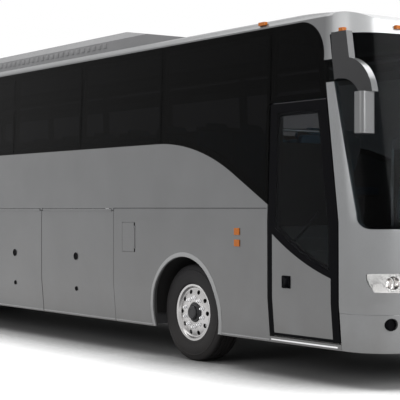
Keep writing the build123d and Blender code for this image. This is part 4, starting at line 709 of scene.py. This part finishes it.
# Body panels, doors and lids, with rounded edges
SKINS = (
    ("right_side", SIDE_PAINT, "side_paint", 0.004),
    ("left_side", SIDE_PAINT, "side_paint", 0.004),
    ("roof", ROOF_PAINT_WITH_HIGHLIGHT, "side_paint", 0.0015),
    ("front_panel", LIT_FRONT_PAINT, "front_paint", 0.003),
    ("front_bumper", LIT_FRONT_PAINT, "front_paint", 0.004),
    ("rear_panel", SIDE_PAINT, "side_paint", 0.004),
    ("windscreen", SCREEN_GLASS, "windscreen_glass", 0.0),
    ("side_windows", SIDE_GLASS, "tinted_glass", 0.0),
    ("rear_window", SIDE_GLASS, "tinted_glass", 0.0),
    ("head_lamps", CLEAR, "lamp_clear", 0.0),
    ("lamp_housings", REFLECTOR, None, 0.002),
    ("marker_lamps", AMBER, "lamp_amber", 0.004),
    ("bay_door_right_front", SIDE_PAINT, "side_paint", 0.004),
    ("bay_door_right_middle", SIDE_PAINT, "side_paint", 0.004),
    ("bay_door_right_rear", SIDE_PAINT, "side_paint", 0.004),
    ("bay_door_left_front", SIDE_PAINT, "side_paint", 0.004),
    ("bay_door_left_middle", SIDE_PAINT, "side_paint", 0.004),
    ("bay_door_left_rear", SIDE_PAINT, "side_paint", 0.004),
    ("filler_flap", SIDE_PAINT, "side_paint", 0.0),
    ("engine_lid", SIDE_PAINT, "side_paint", 0.004),
    ("door_leaf", BLACK_TRIM, "black_trim", 0.004),
    ("door_panel", SIDE_PAINT, "side_paint", 0.002),
    ("door_glass", DOOR_GLASS, "tinted_glass", 0.0),
    ("wipers", BLACK_TRIM, "black_trim", 0.003),
    ("dashboard", DASH, "cabin_plastic", 0.006),
    ("luggage_racks", CABIN, "cabin_plastic", 0.012),
)
for node, material, slot, width in SKINS:
    finished(skin(node, "dressed_" + node, width), material, BODY_OF[node], [node])

# Tail lamps in three bands: stop red, turn amber, reverse white
tail_lamps = finished(
    skin("tail_lamps", "tail_lamp_lenses", 0.004), RED, "coach_body", ["tail_lamps"]
)
for z in TAIL_BANDS_Z:
    take(tail_lamps)
    bpy.ops.object.mode_set(mode="EDIT")
    bpy.ops.mesh.select_all(action="SELECT")
    bpy.ops.mesh.bisect(plane_co=(0, 0, z), plane_no=(0, 0, 1))
    bpy.ops.object.mode_set(mode="OBJECT")
repaint(tail_lamps, AMBER, lambda middle, normal: TAIL_BANDS_Z[1] < middle.z)
repaint(tail_lamps, REFLECTOR, lambda middle, normal: middle.z < TAIL_BANDS_Z[0])

# Mirrors: dark arms whose upper sides carry painted shade, light heads, glass set into their rear faces
def on_head_rear(middle, normal):
    """Looks rearwards, below the mirrors' arms."""
    return normal.x < -0.9 and middle.z < MIRROR_TOP_Z


mirrors = finished(
    skin("mirrors", "mirror_arms_and_heads", 0.008, 50), SIDE_PAINT, "coach_body", ["mirrors"]
)
choose(mirrors, lambda middle, normal: on_head_rear(middle, normal) and abs(middle.x - MIRROR_FACE_X) < 0.004)
bpy.ops.mesh.inset(thickness=0.010, depth=-0.004, use_individual=False)
bpy.ops.object.mode_set(mode="OBJECT")
# Painted shade: the arms' sideways faces above the heads take the near-black seam colour, darker than their
# forward faces.
repaint(mirrors, SEAM_AND_SHADE, lambda middle, normal: middle.z > MIRROR_TOP_Z and abs(normal.y) > 0.6)
repaint(mirrors, BLACK_TRIM, lambda middle, normal: middle.x < MIRROR_ARM_X)
repaint(mirrors, MIRROR,
        lambda middle, normal: on_head_rear(middle, normal) and MIRROR_FACE_X < middle.x < MIRROR_BACK_X)

# Roof unit: rounded shroud, three fans let into its top, louvres along its sides
shroud = finished(skin("air_conditioner", "roof_unit", 0.03, 20, 3), UNIT_PAINT, "coach_body",
                  ["air_conditioner"])
wells = [drum("fan_tool", (x, 0, FAN_WELL_Z), FAN_WELL_RADIUS, 0.16, "Z", 64) for x in FANS_X]
cut_away(shroud, [joined(wells, "fan_tools")])
fan_parts = []
for x in FANS_X:
    for ring in GUARD_RINGS:
        bpy.ops.mesh.primitive_torus_add(location=(x, 0, GUARD_RING_Z), major_radius=ring, minor_radius=0.005,
                                         major_segments=48, minor_segments=8)
        fan_parts.append(settle(bpy.context.object))
    for i in range(GUARD_BARS):
        angle = pi * i / GUARD_BARS
        reach_x, reach_y = 0.335 * cos(angle), 0.335 * sin(angle)
        ends = [(x - reach_x, -reach_y, GUARD_BAR_Z), (x + reach_x, reach_y, GUARD_BAR_Z)]
        fan_parts.append(tube("guard_bar", ends, 0.004, 1))
    fan_parts.append(drum("fan_hub", (x, 0, FAN_HUB_Z), 0.075, 0.05, "Z", 32))
finished(joined(fan_parts, "roof_fan_guards"), BLACK_TRIM, "coach_body")
louvres = []
for side in (-1, 1):
    y = side * UNIT_SIDE_Y
    for i in range(LOUVRES):
        x = FIRST_LOUVRE_X + i * LOUVRE_PITCH
        louvres.append(soft_block("louvre", (x, y - 0.0045, 3.57), (x + 0.075, y + 0.0045, 3.625), 0.003, 2))
finished(joined(louvres, "roof_unit_louvres"), UNIT_PAINT, "coach_body")

# Roof hatches: domed lids with a rim
for node in ("front_hatch", "rear_hatch"):
    lid = finished(skin(node, node + "_lid", 0.010, 35, 3), UNIT_PAINT, BODY_OF[node], [node])
    choose(lid, lambda middle, normal: normal.z > 0.95 and middle.z > HATCH_TOP_Z)
    bpy.ops.mesh.inset(thickness=0.045, depth=0.0)
    bpy.ops.mesh.inset(thickness=0.012, depth=-0.006)
    bpy.ops.object.mode_set(mode="OBJECT")
    smooth(lid, 25)


# Sides: arch lips, seams, strips, locks

def side_y(z):
    """Half width of the body near a height, on its flat sides."""
    above = max(0, min(1, (z - KNEE_Z) / WAIST_RISE))
    return KNEE_Y - max(0, KNEE_Z - z) * LOW_SLOPE + WAIST_WIDENING * above


def arch_lip(name, axle_x, radius, out):
    """The pressed lip around a wheel arch."""
    outline = (
        (radius, 1.284), (radius, 1.302), (radius + 0.004, 1.3075), (radius + 0.014, 1.3095),
        (radius + 0.030, 1.3060), (radius + 0.048, 1.3005), (radius + 0.048, 1.284),
    )
    lip = lathe(name, outline, (axle_x, 0, WHEEL_Z), out=out, steps=120)
    take(lip)
    bpy.ops.object.mode_set(mode="EDIT")
    bpy.ops.mesh.select_all(action="SELECT")
    bpy.ops.mesh.bisect(plane_co=(0, 0, SKIRT_Z + 0.005), plane_no=(0, 0, 1), use_fill=True, clear_inner=True)
    bpy.ops.object.mode_set(mode="OBJECT")
    return smooth(lean_in(lip), 30)


for side, out in (("right", -1), ("left", 1)):
    for axle, axle_x, radius in ARCHES:
        lip = arch_lip(f"{axle}_arch_lip_{side}", axle_x, radius, out)
        finished(lip, LIP_PAINT_HIGHLIT, "coach_body")


def side_strip(name, x_low, x_high, z, half, out, stand=0.004):
    """A slim moulding along the side."""
    y = out * side_y(z)
    low_y, high_y = sorted((y - out * 0.006, y + out * stand))
    return soft_block(name, (x_low, low_y, z - half), (x_high, high_y, z + half), 0.0025, 2)


# Columns: rear end, front end, and the body, without its side where it has one on each
SIDE_RUNS = (
    (-6.54, -5.59, "coach_body"),
    (-2.96, -2.06, "coach_body"),
    (-2.045, -0.636, "rear_bay_door_"),
    (-0.624, 0.784, "middle_bay_door_"),
    (0.796, 2.480, "front_bay_door_"),
    (2.492, 3.24, "coach_body"),
    (4.50, 5.27, "coach_body"),
)
for side, out in (("right", -1), ("left", 1)):
    for i, (x_low, x_high, body) in enumerate(SIDE_RUNS):
        ride = body + side if body.endswith("_") else body
        strip = side_strip(f"low_strip_{side}_{i}", x_low, x_high, LOW_STRIP_Z, 0.007, out)
        finished(strip, LIP_PAINT_HIGHLIT, ride)
    for part, x_low, x_high in (("front", 2.49, 5.262), ("rear", -6.54, -2.056)):
        seam = side_strip(f"waist_seam_{part}_{side}", x_low, x_high, WAIST_SEAM_Z, 0.0035, out, 0.0012)
        finished(seam, SEAM_AND_SHADE, "coach_body")
finished(side_strip("door_sill_strip", 5.30, 6.25, 0.356, 0.008, -1), BRIGHT, "coach_body")


def lock(name, x, z, radius, out, rides):
    """A round lock: a dished cup with a bar across it."""
    y = out * side_y(z)
    cup = drum(name, (x, y + out * 0.002, z), radius, 0.012, corners=40)
    choose(cup, lambda middle, normal: normal.y * out > 0.9)
    bpy.ops.mesh.inset(thickness=radius * 0.16, depth=0.0)
    bpy.ops.mesh.inset(thickness=radius * 0.06, depth=-0.003)
    bpy.ops.object.mode_set(mode="OBJECT")
    round_edges(cup, 0.0012, 2, 40)
    low_y, high_y = sorted((y + out * 0.003, y + out * 0.0075))
    half, reach = radius * 0.16, radius * 0.62
    bar = soft_block("lock_bar", (x - half, low_y, z - reach), (x + half, high_y, z + reach), 0.002)
    finished(smooth(joined([cup, bar], name), 40), BLACK_TRIM, rides)


for side, out in (("right", -1), ("left", 1)):
    for bay, x in LOCKS_X:
        lock(f"{bay}_bay_lock_{side}", x, LOCK_Z, 0.045, out, f"{bay}_bay_door_{side}")
        lock(f"{bay}_bay_key_{side}", x, KEY_Z, 0.027, out, f"{bay}_bay_door_{side}")

# Entrance door: flush handle in a rounded cup, grab bar inside the glass
handle = soft_block("entrance_door_handle", (5.503, -1.303, 0.864), (5.623, -1.290, 0.984), 0.006)
choose(handle, lambda middle, normal: normal.y < -0.9)
bpy.ops.mesh.inset(thickness=0.014, depth=0.0, use_individual=False)
bpy.ops.mesh.inset(thickness=0.003, depth=-0.007, use_individual=False)
bpy.ops.object.mode_set(mode="OBJECT")
paddle = soft_block("handle_paddle", (5.525, -1.302, 0.905), (5.600, -1.293, 0.958), 0.003)
finished(joined([handle, paddle], "entrance_door_handle"), BLACK_TRIM, "entrance_door")
GRAB_BAR = [(5.930, -1.205, 1.600), (5.905, -1.195, 1.572), (5.575, -1.195, 1.320), (5.550, -1.205, 1.292)]
finished(tube("door_grab_bar", GRAB_BAR, 0.016), BLACK_TRIM, "entrance_door")


# Front: projector lamps and fog lamps

def projector(name, y, radius):
    """A round lamp unit: bezel, bowl and domed lens."""
    outline = (
        (radius, -0.055), (radius, 0.010), (radius - 0.004, 0.014), (radius - 0.010, 0.012),
        (radius * 0.62, -0.030), (radius * 0.58, -0.028), (radius * 0.54, -0.012), (radius * 0.40, -0.002),
        (radius * 0.2, 0.004), (0.0, 0.005), (0.0, -0.055),
    )
    unit = lathe(name, outline, (PROJECTOR_X[abs(y)], y, PROJECTOR_Z), along="X", out=1, steps=48)
    return smooth(unit, 35)


for y in PROJECTOR_X:
    for side, out in (("right", -1), ("left", 1)):
        unit = projector(f"projector_{side}_{round(y * 1000)}", out * y, PROJECTOR_RADIUS)
        finished(unit, REFLECTOR, "coach_body")

FOG_OUTLINE = (
    (0.0, -0.05), (0.0530, -0.05), (0.0530, 0.0), (0.0490, 0.003), (0.0440, 0.0), (0.0420, -0.012),
    (0.0, -0.018),
)
for side, out in (("right", -1), ("left", 1)):
    fog = lathe(f"fog_lamp_{side}", FOG_OUTLINE, (FOG_X, out * FOG_Y, FOG_Z), along="X", steps=40)
    finished(smooth(fog, 35), BLACK_TRIM, "coach_body")


# Cabin: seats, rails, partitions and stairs

def seat_pad(name, low, high, crown, panel, cuts=4):
    """A crowned cushion with a sewn seam around its main panel, which faces the direction panel."""
    pad = block(name, low, high)
    take(pad)
    bpy.ops.object.mode_set(mode="EDIT")
    bpy.ops.mesh.select_all(action="SELECT")
    bpy.ops.mesh.subdivide(number_cuts=cuts)
    bpy.ops.object.mode_set(mode="OBJECT")
    modify(pad, "CAST", cast_type="SPHERE", factor=crown, use_radius_as_size=True)
    size = [b - a for a, b in zip(low, high)]
    middle_of = [(a + b) / 2 for a, b in zip(low, high)]

    def main_panel(middle, normal):
        facing = normal.dot(Vector(panel)) > 0.7
        inside = all(abs(middle[i] - middle_of[i]) < size[i] * 0.34 for i in range(3) if abs(panel[i]) < 0.5)
        return facing and inside

    choose(pad, main_panel)
    bpy.ops.mesh.inset(thickness=0.004, depth=-0.006, use_individual=False)
    bpy.ops.mesh.inset(thickness=0.006, depth=0.008, use_individual=False)
    bpy.ops.object.mode_set(mode="OBJECT")
    modify(pad, "SUBSURF", levels=1, render_levels=1)
    return smooth(pad, 60)


def lean_back(piece, pivot, angle):
    """Turns a piece about a line across the coach."""
    take(piece)
    bpy.ops.object.mode_set(mode="EDIT")
    bpy.ops.mesh.select_all(action="SELECT")
    bpy.ops.transform.rotate(value=angle, orient_axis="Y", center_override=pivot)
    bpy.ops.object.mode_set(mode="OBJECT")
    return piece


def seat_parts(x, z, y_low, y_high, places):
    """Cushions, backs and headrests of one bench as one piece, its shell, pan and legs as another."""
    cloth, hard = [], []
    width = (y_high - y_low) / places
    pivot = (x - 0.2, 0, z + 0.36)
    up, forwards = (0, 0, 1), (1, 0, 0)
    for i in range(places):
        low, high = y_low + i * width + 0.012, y_low + (i + 1) * width - 0.012
        cushion_low, cushion_high = (x - 0.135, low, z + 0.335), (x + 0.250, high, z + 0.425)
        cloth.append(seat_pad("cushion", cushion_low, cushion_high, 0.10, up))
        back = seat_pad("back", (x - 0.245, low, z + 0.43), (x - 0.165, high, z + 1.02), 0.06, forwards)
        cloth.append(lean_back(back, pivot, SEAT_LEAN))
        rest_low, rest_high = (x - 0.225, low + 0.09, z + 1.025), (x - 0.165, high - 0.09, z + 1.10)
        rest = seat_pad("headrest", rest_low, rest_high, 0.25, forwards, 2)
        cloth.append(lean_back(rest, pivot, SEAT_LEAN))
    low, high = y_low + 0.02, y_high - 0.02
    shell = soft_block("back_shell", (x - 0.262, low, z + 0.34), (x - 0.246, high, z + 1.05), 0.007)
    hard.append(lean_back(shell, pivot, SEAT_LEAN))
    hard.append(soft_block("pan", (x - 0.14, low, z + 0.305), (x + 0.155, high, z + 0.333), 0.008))
    for y in (y_low + 0.10, y_high - 0.16):
        hard.append(soft_block("leg", (x - 0.10, y, z + 0.002), (x + 0.10, y + 0.05, z + 0.306), 0.012))
        foot_low, foot_high = (x - 0.14, y - 0.02, z + 0.001), (x + 0.14, y + 0.07, z + 0.016)
        hard.append(soft_block("foot", foot_low, foot_high, 0.006))
    return joined(cloth, "bench_cloth"), joined(hard, "bench_frame")


bench_cloth, bench_frame = seat_parts(4.08, 1.450, 0.232, 1.188, 2)
all_cloth, all_frames = [], []
for i in range(SEAT_ROWS):
    for across in (0, OTHER_SIDE):
        all_cloth.append(copy_of(bench_cloth, f"bench_{i}", (-i * SEAT_PITCH, across, 0)))
        all_frames.append(copy_of(bench_frame, f"bench_frame_{i}", (-i * SEAT_PITCH, across, 0)))
for spare in (bench_cloth, bench_frame):
    remove(spare)
driver_cloth, driver_frame = seat_parts(5.56, 1.060, 0.372, 0.868, 1)
cushions = joined(all_cloth + [driver_cloth], "bench_cushions")
finished(cushions, FABRIC, "coach_body", ["seats"])
finished(joined(all_frames + [driver_frame], "bench_frames"), DASH, "coach_body")

# Columns: distance across and height of each rail's corners
STAIR_RAIL = ((-0.415, 1.452), (-0.415, 2.360), (-0.455, 2.400), (-1.160, 2.400))
AISLE_RAIL = ((0.420, 1.452), (0.420, 2.330), (0.460, 2.370), (1.160, 2.370))
rails = [
    tube(name, [(5.262, y, z) for y, z in corners], 0.017)
    for name, corners in (("stair_rail", STAIR_RAIL), ("aisle_rail", AISLE_RAIL))
]
finished(joined(rails, "entrance_rails"), BRIGHT, "coach_body")
back_x, face_x = BULKHEAD_X
partition = joined([
    soft_block("stair_partition", (back_x, -1.175, 1.455), (face_x, -0.440, 2.280), 0.008),
    soft_block("driver_partition", (back_x, 0.445, 1.455), (face_x, 1.175, 2.250), 0.008),
], "entrance_partitions")
finished(partition, RUBBER, "coach_body")
stairs = skin("stairwell", "entrance_stairs", 0.006)
finished(stairs, FLOOR, "coach_body", ["stairwell"])
repaint(stairs, PANEL, lambda middle, normal: abs(normal.z) < 0.5)


# Wheels

# Outlines: radius, and distance outwards from the wheel's middle
HALF_TYRE = (
    (0.284, 0.116), (0.298, 0.123), (0.308, 0.131), (0.316, 0.136), (0.320, 0.140), (0.325, 0.139),
    (0.345, 0.144), (0.372, 0.1475), (0.398, 0.149), (0.425, 0.1475), (0.446, 0.1445), (0.449, 0.1465),
    (0.455, 0.146), (0.458, 0.142), (0.478, 0.137), (0.494, 0.131), (0.505, 0.124), (0.511, 0.117),
    (0.5135, 0.108), (0.5142, 0.082), (0.503, 0.079), (0.503, 0.070), (0.5147, 0.067), (0.515, 0.030),
    (0.503, 0.027), (0.503, 0.018), (0.515, 0.015),
)

RIM = (
    (0.104, 0.084), (0.104, 0.110), (0.112, 0.1135), (0.150, 0.114), (0.205, 0.111), (0.240, 0.105),
    (0.254, 0.101), (0.262, 0.102), (0.268, 0.108), (0.272, 0.118), (0.279, 0.127), (0.290, 0.131),
    (0.301, 0.131), (0.305, 0.128), (0.305, 0.124), (0.298, 0.121), (0.288, 0.117), (0.284, 0.110),
    (0.284, -0.110), (0.288, -0.117), (0.305, -0.124), (0.305, -0.131), (0.292, -0.131), (0.272, -0.120),
    (0.264, -0.100), (0.264, 0.072), (0.256, 0.084),
)

HUB_CAP = (
    (0.0, 0.080), (0.104, 0.080), (0.104, 0.112), (0.098, 0.119), (0.082, 0.121), (0.076, 0.126),
    (0.072, 0.146), (0.064, 0.154), (0.040, 0.156), (0.036, 0.153), (0.0, 0.153),
)

# The twin wheels' shared barrel, with its disc set deep, and its hub. Distances are from the outer wheel.
DRIVE_RIM = (
    (0.104, -0.158), (0.230, -0.158), (0.256, -0.150), (0.264, -0.130), (0.264, 0.095), (0.270, 0.112),
    (0.279, 0.127), (0.290, 0.131), (0.301, 0.131), (0.305, 0.128), (0.305, 0.124), (0.298, 0.121),
    (0.288, 0.117), (0.284, 0.110), (0.284, -0.450), (0.290, -0.457), (0.305, -0.464), (0.305, -0.471),
    (0.290, -0.471), (0.270, -0.455), (0.264, -0.435), (0.264, -0.210), (0.256, -0.190), (0.230, -0.182),
    (0.104, -0.182),
)

DRIVE_HUB = (
    (0.0, -0.165), (0.104, -0.165), (0.104, -0.125), (0.100, -0.118), (0.090, -0.060), (0.084, -0.030),
    (0.076, -0.020), (0.050, -0.016), (0.044, -0.019), (0.0, -0.019),
)


def make_tyre(name, centre):
    """A road tyre: ribs on its walls, four grooves round its tread and cuts across its shoulders."""
    outline = list(HALF_TYRE) + [(r, -a) for r, a in reversed(HALF_TYRE)]
    steps = 96
    tyre = lathe(name, outline, centre, steps=steps)

    def across(middle, normal):
        radial = Vector((middle.x - centre[0], 0, middle.z - centre[2]))
        shoulder = 0.083 < abs(middle.y - centre[1]) < 0.112 and radial.length > 0.505
        return shoulder and int(sector_of(middle, centre, steps)) % 2 == 0

    choose(tyre, across)
    bpy.ops.mesh.inset(use_individual=True, thickness=0.002, depth=-0.006)
    bpy.ops.object.mode_set(mode="OBJECT")
    return smooth(tyre, 30)


def sector_of(middle, centre, steps):
    """Which of the turned piece's steps a face lies in."""
    return (atan2(middle.z - centre[2], middle.x - centre[0]) + 2 * pi) / (2 * pi) * steps + 0.001


def make_rim(name, centre, out, outline=RIM, disc=0.1):
    """A forged rim with a dished disc and ten round hand holes."""
    rim = lathe(name, outline, centre, out=out, steps=80)
    tools = []
    for i in range(HAND_HOLES):
        angle = 2 * pi * i / HAND_HOLES
        x, z = centre[0] + HAND_HOLE_CIRCLE * cos(angle), centre[2] + HAND_HOLE_CIRCLE * sin(angle)
        tools.append(drum("hole_tool", (x, centre[1] + out * disc, z), 0.0245, 0.08, corners=24))
    cut_away(rim, [joined(tools, "hole_tools")])
    round_edges(rim, 0.0022, 2, 50)
    return smooth(rim, 30)


def make_nuts(name, centre, face, out):
    """Ten wheel nuts with flanges, on their studs."""
    nuts = []
    for i in range(NUTS):
        angle = 2 * pi * (i + 0.5) / NUTS
        x, z = centre[0] + NUT_CIRCLE * cos(angle), centre[2] + NUT_CIRCLE * sin(angle)
        y = centre[1] + out * face
        nut = drum("nut", (x, y + out * 0.012, z), 0.0185, 0.024, corners=6)
        choose(nut, lambda middle, normal: normal.y * out > 0.9)
        bpy.ops.mesh.inset(thickness=0.004, depth=0.003)
        bpy.ops.mesh.extrude_region_move(TRANSFORM_OT_translate={"value": (0, 0, 0)})
        bpy.ops.transform.resize(value=(0.75, 1, 0.75))
        bpy.ops.mesh.extrude_region_move(TRANSFORM_OT_translate={"value": (0, out * 0.012, 0)})
        bpy.ops.object.mode_set(mode="OBJECT")
        flange = drum("flange", (x, y + out * 0.002, z), 0.0235, 0.006, corners=20)
        nuts += [nut, flange]
    return smooth(joined(nuts, name), 30)


def make_hub(name, centre, out, outline=HUB_CAP):
    """The hub's cap, turned."""
    return smooth(lathe(name, outline, centre, out=out, steps=48), 30)


for side, out in (("right", -1), ("left", 1)):
    for axle, axle_x in (("front", FRONT_AXLE_X), ("tag", TAG_AXLE_X)):
        centre = (axle_x, out * SINGLE_Y, WHEEL_Z)
        ride = f"{axle}_wheel_{side}"
        tyre_node, rim_node = f"{axle}_tyre_{side}", f"{axle}_rim_{side}"
        finished(make_tyre(tyre_node + "_tread", centre), TYRE, ride, [tyre_node])
        finished(make_rim(rim_node + "_forged", centre, out), WHEEL, ride, [rim_node])
        finished(make_nuts(f"{axle}_nuts_{side}", centre, 0.112, out), BRIGHT, ride)
        finished(make_hub(f"{axle}_hub_{side}", centre, out), HUB, ride)
    ride, tyre_node, rim_node = f"drive_wheels_{side}", f"drive_tyres_{side}", f"drive_rim_{side}"
    tyres = [
        make_tyre(f"drive_tyre_{side}_{i}", (DRIVE_AXLE_X, out * y, WHEEL_Z)) for i, y in enumerate(TWIN_Y)
    ]
    finished(joined(tyres, tyre_node + "_tread"), TYRE, ride, [tyre_node])
    centre = (DRIVE_AXLE_X, out * TWIN_Y[0], WHEEL_Z)
    rim = make_rim(rim_node + "_forged", centre, out, DRIVE_RIM, -0.170)
    finished(rim, WHEEL, ride, [rim_node])
    finished(make_nuts(f"drive_nuts_{side}", centre, -0.157, out), BRIGHT, ride)
    finished(make_hub(f"drive_hub_{side}", centre, out, DRIVE_HUB), HUB, ride)
